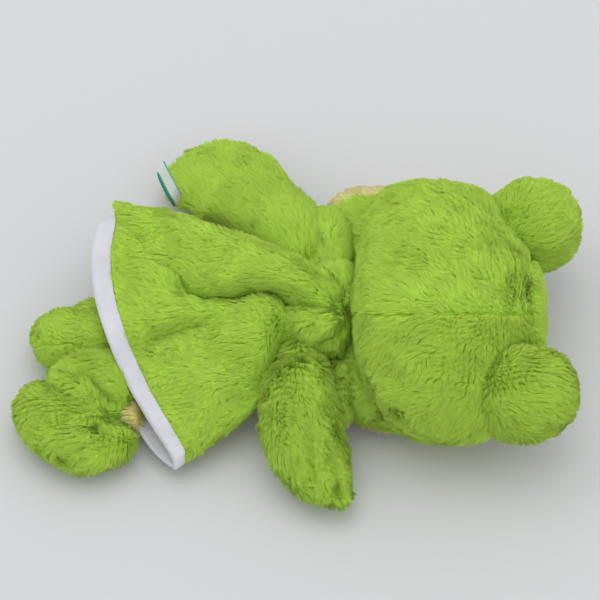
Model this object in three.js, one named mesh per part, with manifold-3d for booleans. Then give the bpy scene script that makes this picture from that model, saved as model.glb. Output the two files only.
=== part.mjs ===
// Frog hand puppet lying face down: plush skins, fillings, a lined glove sleeve, two arms and two folded legs.
// Millimetres. +Z up, +X from the hem to the top of the head, +Y to the puppet's left (the far side of the photo).
import * as THREE from "three";
import { mergeVertices } from "three/addons/utils/BufferGeometryUtils.js";
import Module from "manifold-3d";

const wasm = await Module();
wasm.setup();

// Driving dimensions
const GAP = 0.3; // between neighbouring pieces
const PLUSH = 4; // a plush skin: its backing cloth with its pile
const LINING = 1; // the white lining cloth
const HEAD = { centre: [78, -17, 44.5], half: [53, 77, 45], power: 2.4, facets: [18, 12] };
const JAW = { centre: [58, -2, 19], half: [43, 79, 19.5], power: 4, facets: [16, 10] };
// The head's dent round the neck
const NECK_HOLLOW = { centre: [2, -7, 40], half: [26, 36, 27], power: 2.2, facets: [14, 8] };
const FACE_SEAM_Z = 22; // the seam round the head between its back and its face
const FACE_SEAM_TILT = 0.19; // it rises towards the far side, because the head lies rolled to the near side
const BACK_SEAM_TILT = 0.64; // how far the seam down the middle of the head's back leans to the near side
const MOUTH_X = 88; // the seam between the green face and the yellow chin
const FOREHEAD_X = 120; // the face panel turns over the top of the head down to here
const EYE_DOME = { half: [27, 26, 24], power: 2.1, facets: [12, 8] };
const LEFT_DOME_CENTRE = [124, 36, 46];
const RIGHT_DOME_CENTRE = [119, -71, 46];
const FELT = { radius: 14, thickness: 1.2 };
const EYE = { radius: 8, bulge: 3.5, stem: 2.5, stemLength: 12, toOuterSide: 8 };
const WASHER = { radius: 6, thickness: 2, play: 0.05 };
const NECK = { x: 26, y: -7, z: 40 };
const NECK_BAND = { radius: 15, bore: 12, halfWidth: 3 };
const HEAD_POCKET = { half: [13, 10], from: 30, depth: 50 };
const ARM_POCKET = { half: [10, 7.5], depth: 32, x: -3, z: 38, beyondThroat: 9, lead: 20 };
const HEAD_CLEAR = 2.5; // between the head's outline seen from above and the arms, so that it can turn
const SLEEVE_THROAT = { x: 22, y: -7, halfWidth: 15, halfHeight: 10 };
const SLEEVE_FLARE = [26, 50]; // half its width a third and two thirds of the way down
const SLEEVE_HEM = { x: -73, y: -16, halfWidth: 75, halfHeight: 14, nearZ: 13, farZ: 31 };
const SLEEVE_LEAN = { slope: -0.306, fullAt: 0.625 }; // how its sections turn from square, down to this share
const HEM_BOW = 17; // how far the middle of the hem stands out beyond its corners
const SLEEVE_SHARES = [0.14, 0.28, 0.42, 0.56, 0.7, 0.83, 0.96, 1.06]; // where the sleeve's sections are
const SLEEVE_SIDES = 24;
const SHARE_GAP = 0.004; // the gap as a share of the sleeve's length
const PLUSH_SHARES = 7; // the plush ends at this many of the sections and the white hem band follows
const HEM_BAND_WALL = 1.4;
// The folds of the sleeve's back: the height, a valley's being negative, then where the fold lies across the sleeve
// (1 is the far side seam) and along it, each with how far it reaches.
const FOLDS_FULL_AT = 1 / 3; // from this share of the sleeve's length
const FOLDS = [
  { height: -8, across: 0.1, width: 0.18, along: 0.45, length: 0.28 },
  { height: 13, across: 0.55, width: 0.25, along: 0.55, length: 0.5 },
  { height: -4, across: -0.4, width: 0.14, along: 0.8, length: 0.35 },
  { height: 4, across: -0.15, width: 0.14, along: 0.7, length: 0.4 },
];
// The label's size, its place on the sleeve and its lean from upright
const TAG = { width: 13, length: 24, thickness: 0.8, share: 0.72, angle: 0.35, lean: Math.PI / 4 };

// Limbs: the curve through the middle, and half the width and half the height at even steps along it.
const LIMB_FACETS = [12, 8];
const ARM_LEFT = {
  points: [[2, 12, 40], [-4, 38, 37], [-16, 60, 25], [-36, 81, 13], [-66, 90, 11]],
  halfWidths: [18, 22, 30, 34, 27],
  halfHeights: [15, 15, 13.5, 12.5, 11.5],
  power: 3,
};
const ARM_RIGHT = {
  points: [[4, -26, 40], [-1, -52, 37], [0, -80, 26], [8, -98, 18], [21, -118, 12]],
  halfWidths: [16, 20, 24, 23, 15],
  halfHeights: [15, 17, 18, 16, 11.5],
  power: 2.4,
};
const THIGH_LEFT = {
  points: [[-84, -12, 17], [-98, -13, 18], [-124, -14, 17]],
  halfWidths: [16, 17, 16],
  halfHeights: [16, 17, 16],
  power: 3,
};
const FOOT_LEFT = {
  points: [[-104, -14, 17], [-124, -15, 16], [-142, -17, 14]],
  halfWidths: [16, 16, 13],
  halfHeights: [15, 16, 13],
  power: 2.6,
};
const THIGH_RIGHT = {
  points: [[-76, -56, 17], [-100, -52, 18], [-134, -47, 17]],
  halfWidths: [20, 22, 17],
  halfHeights: [15, 17, 16],
  power: 3,
};
const FOOT_RIGHT = {
  points: [[-132, -42, 15], [-130, -62, 16], [-113, -74, 16], [-84, -81, 14]],
  halfWidths: [18, 22, 25, 16],
  halfHeights: [14, 16, 16, 14],
  power: 2.6,
};
const LEG_GAP_Y = -31; // between the two legs
const LEG_SEAM_Z = 16;
const FOLD_LEFT = { at: [-116, -15, 31], outward: [-1, 0, 0] };
const FOLD_RIGHT = { at: [-106, -58, 31], outward: [-0.74, -0.67, 0] };

const REACH = 400; // further than any piece of the part
const vec = (list) => new THREE.Vector3(...list);
const mix = THREE.MathUtils.lerp;
const smooth = (share) => THREE.MathUtils.smoothstep(share, 0, 1);
const bell = (value, centre, width) => Math.exp(-(((value - centre) / width) ** 2));

// A three.js geometry as a solid, turned so that its faces point outwards.
function solid(geometry) {
  const bare = geometry.clone();
  bare.deleteAttribute("normal");
  bare.deleteAttribute("uv");
  const merged = mergeVertices(bare, 1e-3);
  const corners = new Uint32Array(merged.index.array);
  const build = () =>
    new wasm.Manifold(
      new wasm.Mesh({
        numProp: 3,
        vertProperties: merged.attributes.position.array,
        triVerts: corners,
      }),
    );
  const first = build();
  if (first.volume() > 0) return first;
  for (let i = 0; i < corners.length; i += 3) {
    [corners[i + 1], corners[i + 2]] = [corners[i + 2], corners[i + 1]];
  }
  return build();
}

// A geometry with every vertex moved to place(vertex).
function shaped(geometry, place) {
  const spots = geometry.getAttribute("position");
  for (let i = 0; i < spots.count; i += 1) {
    const spot = place(new THREE.Vector3().fromBufferAttribute(spots, i));
    spots.setXYZ(i, spot.x, spot.y, spot.z);
  }
  return solid(geometry);
}

function block(low, high) {
  const [from, to] = [vec(low), vec(high)];
  const size = to.clone().sub(from);
  const middle = from.add(to).multiplyScalar(0.5);
  return solid(new THREE.BoxGeometry(...size.toArray()).translate(...middle.toArray()));
}

const above = (z) => block([-REACH, -REACH, z], [REACH, REACH, REACH]);
const below = (z) => block([-REACH, -REACH, -REACH], [REACH, REACH, z]);

// Everything on the outward side of an upright plane.
function beyond(fold, clear) {
  const turn = Math.atan2(fold.outward[1], fold.outward[0]);
  return solid(
    new THREE.BoxGeometry(REACH, REACH, REACH)
      .translate(REACH / 2 + clear, 0, 0)
      .rotateZ(turn)
      .translate(...fold.at),
  );
}

// A rounded form: power 2 is an ellipsoid and a higher power is squarer. grow widens it on every side.
function pebble({ centre, half, power, facets }, grow) {
  const reach = vec(half).addScalar(grow);
  return shaped(new THREE.SphereGeometry(1, ...facets), (p) => {
    const size = Math.abs(p.x) ** power + Math.abs(p.y) ** power + Math.abs(p.z) ** power;
    return p.divideScalar(size ** (1 / power)).multiply(reach).add(vec(centre));
  });
}

// The value at a share of the way through an evenly spaced list.
function alongList(list, share) {
  const place = share * (list.length - 1);
  const index = THREE.MathUtils.clamp(Math.floor(place), 0, list.length - 2);
  return mix(list[index], list[index + 1], place - index);
}

// The point, heading, sideways and upward directions at a distance along a curve, which runs on straight at its ends.
function station(curve, distance) {
  const length = curve.getLength();
  const inside = THREE.MathUtils.clamp(distance, 0, length);
  const share = inside / length;
  const run = curve.getTangentAt(share);
  const spot = curve.getPointAt(share).addScaledVector(run, distance - inside);
  const side = new THREE.Vector3(-run.y, run.x, 0).normalize();
  const rise = run.clone().cross(side);
  return { share, spot, side, rise };
}

const curveOf = (form) => new THREE.CatmullRomCurve3(form.points.map(vec));

// A limb swept along its curve, flat underneath where it lies on the ground.
function limb(form, grow) {
  const curve = curveOf(form);
  const length = curve.getLength();
  return shaped(new THREE.SphereGeometry(1, ...LIMB_FACETS), (p) => {
    const { share, spot, side, rise } = station(curve, mix(-grow, length + grow, (1 - p.y) / 2));
    const ring = Math.hypot(p.x, p.z);
    if (ring < 1e-6) return spot;
    const fuller = (1 - Math.min(1, Math.abs(p.y)) ** form.power) ** (1 / form.power) / ring;
    const width = (alongList(form.halfWidths, share) + grow) * fuller;
    const height = (alongList(form.halfHeights, share) + grow) * fuller;
    return spot.addScaledVector(side, width * p.x).addScaledVector(rise, height * p.z);
  }).intersect(above(-grow));
}

// A thin wall down the middle of an arm, where its upper skin is sewn to its lower one.
function armSeam(form) {
  const curve = curveOf(form);
  const steps = 8;
  const side = Math.sign(form.points[1][1]);
  return shaped(new THREE.BoxGeometry(REACH, steps + 2, GAP, 1, steps + 2, 1), (p) => {
    const place = Math.round(p.y + steps / 2 + 1) - 1;
    const spot = curve.getPointAt(THREE.MathUtils.clamp(place / steps, 0, 1));
    if (place < 0) spot.y -= side * HEAD.half[1];
    if (place > steps) spot.y += side * HEAD.half[1];
    return new THREE.Vector3(p.x, spot.y, spot.z + p.z);
  });
}

// A pocket of cloth: a cup along an axis from its mouth, with an elliptical section. Without a wall it is solid.
function cup(mouth, direction, half, depth, wall) {
  const steps = 3;
  const arc = (radius, bulge) =>
    Array.from({ length: steps }, (_, i) => {
      const angle = ((i + 1) / steps) * (Math.PI / 2);
      return new THREE.Vector2(Math.sin(angle) * radius, depth - half[1] + bulge * Math.cos(angle));
    });
  const outside = [new THREE.Vector2(0, depth), ...arc(1, half[1]), new THREE.Vector2(1, 0)];
  const thin = 1 - wall / half[1];
  const inside = wall
    ? [new THREE.Vector2(thin, 0), ...arc(thin, half[1] - wall).reverse(), new THREE.Vector2(0, depth - wall)]
    : [new THREE.Vector2(0, 0)];
  const run = vec(direction);
  const side = new THREE.Vector3(-run.y, run.x, 0);
  return shaped(new THREE.LatheGeometry([...outside, ...inside], 12), (p) =>
    vec(mouth)
      .addScaledVector(run, p.y)
      .addScaledVector(side, p.x * half[0])
      .add(new THREE.Vector3(0, 0, p.z * half[1])),
  );
}

const sleeveHalfWidth = (t) => alongList([SLEEVE_THROAT.halfWidth, ...SLEEVE_FLARE, SLEEVE_HEM.halfWidth], t);

// How far the folds lift the sleeve's back at a share t of its length, where lift is 0 at the side seams.
function foldHeight(t, across, lift) {
  if (lift <= 0) return 0;
  const rise = FOLDS.reduce(
    (sum, fold) => sum + fold.height * bell(across, fold.across, fold.width) * bell(t, fold.along, fold.length),
    0,
  );
  return smooth(t / FOLDS_FULL_AT) * lift * rise;
}

// The height of the side seams at a share t of the sleeve's length.
const sleeveBase = (t, across) =>
  mix(NECK.z, mix(SLEEVE_HEM.nearZ, SLEEVE_HEM.farZ, (across + 1) / 2), smooth(t));

// A place in the part from a share of the sleeve's length, a distance sideways and a height.
function inSleeve(t, sideways, z) {
  const across = sideways / sleeveHalfWidth(t);
  const lean = SLEEVE_LEAN.slope * smooth(t / SLEEVE_LEAN.fullAt);
  const bow = HEM_BOW * t * t * Math.max(0, 1 - across * across);
  return new THREE.Vector3(
    mix(SLEEVE_THROAT.x, SLEEVE_HEM.x, t) + lean * sideways - bow,
    mix(SLEEVE_THROAT.y, SLEEVE_HEM.y, t) + Math.sqrt(1 - lean * lean) * sideways,
    z,
  );
}

// A point of the sleeve: t runs from throat to hem, the angle goes from the far side seam over the top, and outward
// is the distance out from the sleeve's empty inside.
function sleevePoint(t, angle, outward) {
  const section = (turn) => {
    const [across, lift] = [Math.cos(turn), Math.sin(turn)];
    const rise = lift * mix(SLEEVE_THROAT.halfHeight, SLEEVE_HEM.halfHeight, t) + foldHeight(t, across, lift);
    return new THREE.Vector2(across * sleeveHalfWidth(t), sleeveBase(t, across) + rise);
  };
  const nearby = 0.02;
  const tangent = section(angle + nearby).sub(section(angle - nearby));
  const spot = section(angle).add(new THREE.Vector2(tangent.y, -tangent.x).setLength(outward));
  return inSleeve(t, spot.x, spot.y);
}

// A wall of the sleeve all the way round, between two distances from its inside, through a list of shares. Walls that
// face each other take the shared distance last, and then their facets lie alike.
function sleeveTube(from, to, shares) {
  const ring = (radius) => shares.map((_, i) => new THREE.Vector2(radius, i));
  const profile = [...ring(1), ...ring(2).reverse(), new THREE.Vector2(1, 0)];
  return shaped(new THREE.LatheGeometry(profile, SLEEVE_SIDES), (p) => {
    const wall = Math.hypot(p.x, p.z) - 1;
    return sleevePoint(shares[Math.round(p.y)], Math.atan2(p.z, p.x), mix(from, to, wall));
  });
}

// All the space inside a distance from the sleeve's inside, through a list of shares.
function sleeveCore(outward, shares) {
  const wall = shares.map((_, i) => new THREE.Vector2(1, i));
  const profile = [new THREE.Vector2(0, 0), ...wall, new THREE.Vector2(0, shares.length - 1)];
  return shaped(new THREE.LatheGeometry(profile, SLEEVE_SIDES), (p) => {
    const t = shares[Math.round(p.y)];
    if (Math.hypot(p.x, p.z) < 0.5) return inSleeve(t, 0, sleeveBase(t, 0));
    return sleevePoint(t, Math.atan2(p.z, p.x), outward);
  });
}

// The sleeve's own room, with a gap round it: what is sewn to the sleeve is cut back to this.
function sleeveRoom() {
  const inner = LINING + GAP;
  const plush = SLEEVE_SHARES.slice(0, PLUSH_SHARES);
  const hem = SLEEVE_SHARES.slice(PLUSH_SHARES - 1);
  return sleeveCore(inner + PLUSH + GAP, [-SHARE_GAP, 0, ...plush, plush.at(-1) + SHARE_GAP]).add(
    sleeveCore(inner + HEM_BAND_WALL + GAP, [...hem, hem.at(-1) + 2 * SHARE_GAP]),
  );
}

// A thin wall through both side seams of the sleeve, with room for a gap.
function sideSeams() {
  const shares = [-SHARE_GAP, 0, ...SLEEVE_SHARES];
  return shaped(new THREE.BoxGeometry(2, shares.length - 1, GAP, 1, shares.length - 1, 1), (p) => {
    const t = shares[Math.round(p.y + (shares.length - 1) / 2)];
    return inSleeve(t, p.x * (sleeveHalfWidth(t) + 2 * PLUSH), sleeveBase(t, p.x) + p.z);
  });
}

const piece = (name, shape, finish) => ({ name, shape, finish });

const headPocket = (grow, wall) =>
  cup(
    [HEAD_POCKET.from, NECK.y, NECK.z],
    [1, 0, 0],
    HEAD_POCKET.half.map((half) => half + grow),
    HEAD_POCKET.depth + grow,
    wall,
  );

const neckBall = (grow) =>
  solid(new THREE.SphereGeometry(NECK_BAND.radius + grow, 16, 8).translate(NECK.x, NECK.y, NECK.z));

// The whole head grown or shrunk by a distance, dented where the neck meets it.
function headForm(grow) {
  return pebble(HEAD, grow)
    .add(pebble(JAW, grow))
    .subtract(pebble(NECK_HOLLOW, -grow))
    .intersect(above(-grow));
}

// The head's outline seen from above, as a tall pillar.
const headShadow = () =>
  [HEAD, JAW]
    .map((form) => ({ ...form, half: [form.half[0], form.half[1], REACH] }))
    .map((pillar) => pebble(pillar, HEAD_CLEAR))
    .reduce((all, pillar) => all.add(pillar));

// All that lies on one side of a lengthwise plane through the head, which is turned about the head's length.
function headSide(shape, tilt, z) {
  return shape.rotate([THREE.MathUtils.radToDeg(tilt), 0, 0]).translate([0, HEAD.centre[1], z]);
}

function headPieces() {
  const skin = headForm(0).subtract(headForm(-PLUSH)).subtract(headPocket(GAP, 0)).subtract(neckBall(GAP));
  const half = GAP / 2;
  const back = headSide(above(half), FACE_SEAM_TILT, FACE_SEAM_Z).subtract(
    block([FOREHEAD_X - half, -REACH, -REACH], [REACH, REACH, REACH]),
  );
  const low = headSide(below(-half), FACE_SEAM_TILT, FACE_SEAM_Z);
  const middleZ = HEAD.centre[2];
  const left = headSide(block([-REACH, half, -REACH], [REACH, REACH, REACH]), BACK_SEAM_TILT, middleZ);
  const right = headSide(block([-REACH, -REACH, -REACH], [REACH, -half, REACH]), BACK_SEAM_TILT, middleZ);
  const face = low
    .intersect(block([MOUTH_X + half, -REACH, -REACH], [REACH, REACH, REACH]))
    .add(block([FOREHEAD_X + half, -REACH, -REACH], [REACH, REACH, REACH]));
  const chin = low.intersect(block([-REACH, -REACH, -REACH], [MOUTH_X - half, REACH, REACH]));
  return [
    piece("head_back_left", skin.intersect(back).intersect(left), "greenPlush"),
    piece("head_back_right", skin.intersect(back).intersect(right), "greenPlush"),
    piece("face_panel", skin.intersect(face), "greenPlush"),
    piece("chin_panel", skin.intersect(chin), "yellowPlush"),
    piece(
      "head_filling",
      headForm(-PLUSH - GAP).subtract(headPocket(GAP, 0)).subtract(neckBall(GAP)),
      "filling",
    ),
    piece("head_pocket", headPocket(0, LINING).subtract(neckBall(GAP)), "liningCloth"),
  ];
}

// An eye dome with its filling, felt ring, plastic eye and the washer that locks the eye's stem inside.
function eyePieces(side, centre) {
  const dome = (grow) => pebble({ ...EYE_DOME, centre }, grow);
  const headRoom = headForm(GAP);
  const rod = (radius, low, high) =>
    solid(
      new THREE.CylinderGeometry(radius, radius, high - low, 12)
        .rotateX(Math.PI / 2)
        .translate(centre[0] + EYE.toOuterSide, centre[1], (low + high) / 2),
    );
  const bottom = centre[2] - EYE_DOME.half[2];
  const stemTop = bottom + PLUSH + EYE.stemLength;
  const washerLow = stemTop - 2 * WASHER.thickness;
  const washerTop = washerLow + WASHER.thickness;
  const stemRoom = rod(EYE.stem + GAP, 0, stemTop + GAP);
  const washerRoom = rod(WASHER.radius + GAP, washerLow - GAP, washerTop + GAP);
  const felt = dome(FELT.thickness + GAP).subtract(dome(GAP)).intersect(rod(FELT.radius, 0, centre[2]));
  const seat = FELT.thickness + 2 * GAP;
  const bulge = dome(seat + EYE.bulge).subtract(dome(seat)).intersect(rod(EYE.radius, 0, centre[2]));
  const filling = dome(-PLUSH - GAP).subtract(stemRoom).subtract(washerRoom);
  return [
    piece(`eye_dome_${side}`, dome(0).subtract(dome(-PLUSH)).subtract(headRoom).subtract(stemRoom), "greenPlush"),
    piece(`eye_dome_filling_${side}`, filling.subtract(headRoom), "filling"),
    piece(`eye_felt_${side}`, felt.subtract(stemRoom).subtract(headRoom), "whiteFelt"),
    piece(`eye_${side}`, bulge.add(rod(EYE.stem, bottom - FELT.thickness - EYE.bulge / 2, stemTop)), "eyePlastic"),
    piece(
      `eye_washer_${side}`,
      rod(WASHER.radius, washerLow, washerTop).subtract(rod(EYE.stem + WASHER.play, 0, REACH)),
      "washerPlastic",
    ),
  ];
}

// The ring of white tape in the neck seam: round, so that the head can turn and nod about its middle.
function neckBand() {
  const slab = block([NECK.x - NECK_BAND.halfWidth, -REACH, 0], [NECK.x + NECK_BAND.halfWidth, REACH, REACH]);
  const bore = solid(
    new THREE.CylinderGeometry(NECK_BAND.bore, NECK_BAND.bore, REACH, 16)
      .rotateZ(Math.PI / 2)
      .translate(NECK.x, NECK.y, NECK.z),
  );
  return piece("neck_band", neckBall(0).intersect(slab).subtract(bore), "liningCloth");
}

// The two ways out of the sleeve's sides into the arms: a mouth inside the sleeve and the way it runs.
const armPocketPlace = (side) => ({
  mouth: [ARM_POCKET.x, NECK.y + side * (SLEEVE_THROAT.halfWidth + ARM_POCKET.beyondThroat), ARM_POCKET.z],
  run: [0, side, 0],
});

function armPocket(side, grow, wall, lead = 0) {
  const { mouth, run } = armPocketPlace(side);
  const start = [mouth[0], mouth[1] - side * lead, mouth[2]];
  return cup(start, run, ARM_POCKET.half.map((half) => half + grow), ARM_POCKET.depth + grow + lead, wall);
}

function sleevePieces() {
  const neckRoom = neckBall(GAP);
  const through = armPocket(1, -LINING, 0, ARM_POCKET.lead).add(armPocket(-1, -LINING, 0, ARM_POCKET.lead));
  const clear = (shape) => shape.subtract(neckRoom).subtract(through).intersect(above(0));
  const inner = LINING + GAP;
  const plushEnd = SLEEVE_SHARES[PLUSH_SHARES - 1];
  const plush = sleeveTube(inner + PLUSH, inner, [0, ...SLEEVE_SHARES.slice(0, PLUSH_SHARES)]);
  const halves = clear(plush.subtract(sideSeams())).decompose();
  halves.sort((a, b) => b.boundingBox().max[2] - a.boundingBox().max[2]);
  const hemShares = [plushEnd + SHARE_GAP, ...SLEEVE_SHARES.slice(PLUSH_SHARES)];
  return [
    piece("sleeve_lining", clear(sleeveTube(0, LINING, SLEEVE_SHARES)), "liningCloth"),
    piece("back_panel", halves[0], "greenPlush"),
    piece("belly_panel", halves[1], "yellowPlush"),
    piece("hem_band", clear(sleeveTube(inner + HEM_BAND_WALL, inner, hemShares)), "liningCloth"),
  ];
}

// A limb's upper and lower skins and its filling, clear of what it is sewn to.
function limbPieces(name, form, seam, room, parts) {
  const trim = (shape) => room.reduce((rest, other) => rest.subtract(other), shape);
  const halves = trim(limb(form, 0).subtract(limb(form, -PLUSH)).subtract(seam)).decompose();
  const skins = halves.sort((a, b) => b.volume() - a.volume()).slice(0, 2);
  const middleZ = (shape) => (shape.boundingBox().min[2] + shape.boundingBox().max[2]) / 2;
  skins.sort((a, b) => middleZ(b) - middleZ(a));
  return [
    piece(`${name}_${parts[0]}`, skins[0], "greenPlush"),
    piece(`${name}_${parts[1]}`, skins[1], "greenPlush"),
    piece(`${name}_filling`, trim(limb(form, -PLUSH - GAP)), "filling"),
  ];
}

function armPieces(name, side, form) {
  const room = [sleeveRoom(), armPocket(side, GAP, 0, ARM_POCKET.lead), headShadow()];
  const pocket = armPocket(side, 0, LINING).subtract(sleeveRoom());
  return [
    ...limbPieces(name, form, armSeam(form), room, ["upper_skin", "under_skin"]),
    piece(`${name}_pocket`, pocket, "liningCloth"),
  ];
}

function legPieces(name, thigh, foot, fold, legSide) {
  const half = GAP / 2;
  const hem = sleeveRoom();
  const otherLeg =
    legSide > 0
      ? block([-REACH, -REACH, -REACH], [REACH, LEG_GAP_Y + half, REACH])
      : block([-REACH, LEG_GAP_Y - half, -REACH], [REACH, REACH, REACH]);
  const seam = block([-REACH, -REACH, LEG_SEAM_Z - half], [REACH, REACH, LEG_SEAM_Z + half]);
  const inward = { at: fold.at, outward: fold.outward.map((part) => -part) };
  return [
    ...limbPieces(`thigh_${name}`, thigh, seam, [hem, otherLeg, beyond(fold, -half)], ["upper_skin", "under_skin"]),
    ...limbPieces(`foot_${name}`, foot, seam, [hem, otherLeg, beyond(inward, -half)], ["upper_skin", "sole"]),
  ];
}

// The small woven label that stands out of the far side seam.
function tagPiece() {
  const { width, length, thickness, share, angle, lean } = TAG;
  const root = sleevePoint(share, angle, LINING + GAP + PLUSH);
  const label = new THREE.BoxGeometry(width, thickness, length)
    .translate(0, 0, length / 2)
    .rotateX(-lean)
    .translate(...root.toArray());
  return piece("label_tag", solid(label).subtract(sleeveRoom()), "labelCloth");
}

const FINISHES = {
  greenPlush: { color: "#95c23a", roughness: 0.95 },
  yellowPlush: { color: "#e6d876", roughness: 0.95 },
  filling: { color: "#f2f2ee", roughness: 1 },
  liningCloth: { color: "#e4e6ec", roughness: 0.85 },
  whiteFelt: { color: "#f4f4f0", roughness: 0.95 },
  eyePlastic: { color: "#101012", roughness: 0.12 },
  washerPlastic: { color: "#dcdcd8", roughness: 0.5 },
  labelCloth: { color: "#e9eef0", roughness: 0.7 },
};

function meshOf({ name, shape, finish }) {
  const { vertProperties, triVerts } = shape.getMesh();
  const geometry = new THREE.BufferGeometry();
  geometry.setAttribute("position", new THREE.BufferAttribute(vertProperties, 3));
  geometry.setIndex(new THREE.BufferAttribute(triVerts, 1));
  geometry.computeVertexNormals();
  const material = new THREE.MeshStandardMaterial({ ...FINISHES[finish], metalness: 0 });
  const mesh = new THREE.Mesh(geometry, material);
  mesh.name = name;
  return mesh;
}

const puppet = new THREE.Group();
const pieces = [
  ...headPieces(),
  ...eyePieces("left", LEFT_DOME_CENTRE),
  ...eyePieces("right", RIGHT_DOME_CENTRE),
  neckBand(),
  ...sleevePieces(),
  ...armPieces("arm_left", 1, ARM_LEFT),
  ...armPieces("arm_right", -1, ARM_RIGHT),
  ...legPieces("left", THIGH_LEFT, FOOT_LEFT, FOLD_LEFT, 1),
  ...legPieces("right", THIGH_RIGHT, FOOT_RIGHT, FOLD_RIGHT, -1),
  tagPiece(),
];
pieces.forEach((each) => puppet.add(meshOf(each)));

// The frame's origin is the middle of the part's underside.
const bounds = new THREE.Box3().setFromObject(puppet, true);
const middle = bounds.getCenter(new THREE.Vector3());
puppet.position.set(-middle.x, -middle.y, -bounds.min.z);

export default puppet;
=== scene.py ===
"""Frog glove puppet in plush, lying face down on a pale surface.

Lengths below are millimetres in the drawing's own axes: +X from hem to head, +Y to the far side and
+Z up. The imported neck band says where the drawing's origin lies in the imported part.
"""

import logging
import math
from dataclasses import dataclass
from enum import Enum
from typing import Callable

import bpy
import numpy as np
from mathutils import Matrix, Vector


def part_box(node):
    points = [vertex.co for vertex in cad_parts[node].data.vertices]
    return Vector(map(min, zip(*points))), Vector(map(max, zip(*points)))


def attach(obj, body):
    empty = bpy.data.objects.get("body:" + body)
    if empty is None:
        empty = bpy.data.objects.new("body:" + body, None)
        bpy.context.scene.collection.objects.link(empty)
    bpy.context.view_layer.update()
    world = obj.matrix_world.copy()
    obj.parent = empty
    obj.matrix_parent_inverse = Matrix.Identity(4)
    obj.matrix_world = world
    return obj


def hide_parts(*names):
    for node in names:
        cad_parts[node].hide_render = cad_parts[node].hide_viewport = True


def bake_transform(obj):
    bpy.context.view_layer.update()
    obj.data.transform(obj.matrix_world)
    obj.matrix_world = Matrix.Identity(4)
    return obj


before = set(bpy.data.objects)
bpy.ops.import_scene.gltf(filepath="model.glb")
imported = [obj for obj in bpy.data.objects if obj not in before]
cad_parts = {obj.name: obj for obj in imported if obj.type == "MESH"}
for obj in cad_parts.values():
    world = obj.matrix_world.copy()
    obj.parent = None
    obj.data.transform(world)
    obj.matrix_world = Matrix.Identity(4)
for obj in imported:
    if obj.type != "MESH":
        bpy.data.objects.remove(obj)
LOG = logging.getLogger("puppet")
MM = 0.001
FLOOR_CLEAR = 0.25
NECK_CENTRE = (26.0, -7.0, 40.0)
MOST_BUNCHES = 48_500
ROOT_DEPTH = 0.4
LENGTH_SPREAD = 0.14
LEAN_RANGE = (0.15, 1.4)
TONE_RANGE = (0.02, 0.96)
UNDERSIDE_WIDENING = 1.6
HALVINGS = 24
CELL_FACTORS = (73856093, 19349663, 83492791)
SEED_FACTOR = 40503
MIXING_FACTOR = 1274126177
LOW_BITS = 0xFFFFFFFF
Points = np.ndarray
Heading = Callable[[Points], Points]


class Side(Enum):
    """The puppet's own sides: its left lies far from the viewer."""

    LEFT = "left"
    RIGHT = "right"


class Fold(Enum):
    """How a fold in cloth looks across its line."""

    WAVE = "wave"
    ROLL = "roll"


def linear(colour: str) -> tuple[float, float, float, float]:
    """Turns an sRGB hex colour into the linear values that a shader takes.

    Args:
        colour: the colour as #rrggbb.

    Returns:
        Linear red, green and blue, and an alpha of 1.
    """
    parts = [int(colour[i : i + 2], 16) / 255 for i in (1, 3, 5)]
    straight = [c / 12.92 if c <= 0.04045 else ((c + 0.055) / 1.055) ** 2.4 for c in parts]
    return (*straight, 1.0)


class NodeTree:
    """A material's nodes, with one way to add and join them."""

    def __init__(self, name: str) -> None:
        """Starts a material.

        Args:
            name: the material's name.
        """
        self.material = bpy.data.materials.new(name)
        self.material.use_nodes = True
        self.tree = self.material.node_tree
        self.shader = self.tree.nodes["Principled BSDF"]

    def add(self, kind: str, inputs: dict | None = None, **settings: object) -> bpy.types.Node:
        """Adds a node.

        Args:
            kind: the node's type.
            inputs: numbers, colours or sockets to join, by input name or place.
            **settings: the node's own properties.

        Returns:
            The new node.
        """
        node = self.tree.nodes.new(kind)
        for key, value in settings.items():
            setattr(node, key, value)
        for key, value in (inputs or {}).items():
            self.feed(node.inputs[key], value)
        return node

    def feed(self, socket: bpy.types.NodeSocket, value: object) -> None:
        """Joins a socket to another, or sets its number or colour.

        Args:
            socket: the input.
            value: an output's socket, a number or a colour.
        """
        if isinstance(value, bpy.types.NodeSocket):
            self.tree.links.new(value, socket)
        else:
            socket.default_value = value

    def set(self, **numbers: float) -> None:
        """Sets numbers on the shader, its inputs named with _ for a space."""
        for key, value in numbers.items():
            self.shader.inputs[key.replace("_", " ")].default_value = value

    def place(self) -> bpy.types.NodeSocket:
        """The place on the object, in its own space."""
        return self.add("ShaderNodeTexCoord").outputs["Object"]

    def noise(self, size: float) -> bpy.types.NodeSocket:
        """Soft noise whose features are about a size in mm."""
        return self.add("ShaderNodeTexNoise", {"Vector": self.place(), "Scale": 1 / (size * MM)}).outputs[0]

    def ramp(self, factor: bpy.types.NodeSocket, stops: list[tuple[float, str]]) -> bpy.types.NodeSocket:
        """A colour ramp.

        Args:
            factor: what chooses the colour.
            stops: places from 0 to 1, each with its sRGB hex colour.

        Returns:
            The ramp's colour socket.
        """
        node = self.add("ShaderNodeValToRGB", {0: factor})
        elements = node.color_ramp.elements
        while len(elements) < len(stops):
            elements.new(0.5)
        for element, (place, colour) in zip(elements, stops):
            element.position = place
            element.color = linear(colour)
        return node.outputs[0]

    def bump(self, height: bpy.types.NodeSocket, distance: float, strength: float) -> None:
        """Gives the shader a bump.

        Args:
            height: the pattern.
            distance: its depth in mm.
            strength: how much of it shows.
        """
        node = self.add("ShaderNodeBump", {"Height": height, "Distance": distance * MM, "Strength": strength})
        self.feed(self.shader.inputs["Normal"], node.outputs[0])


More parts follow.
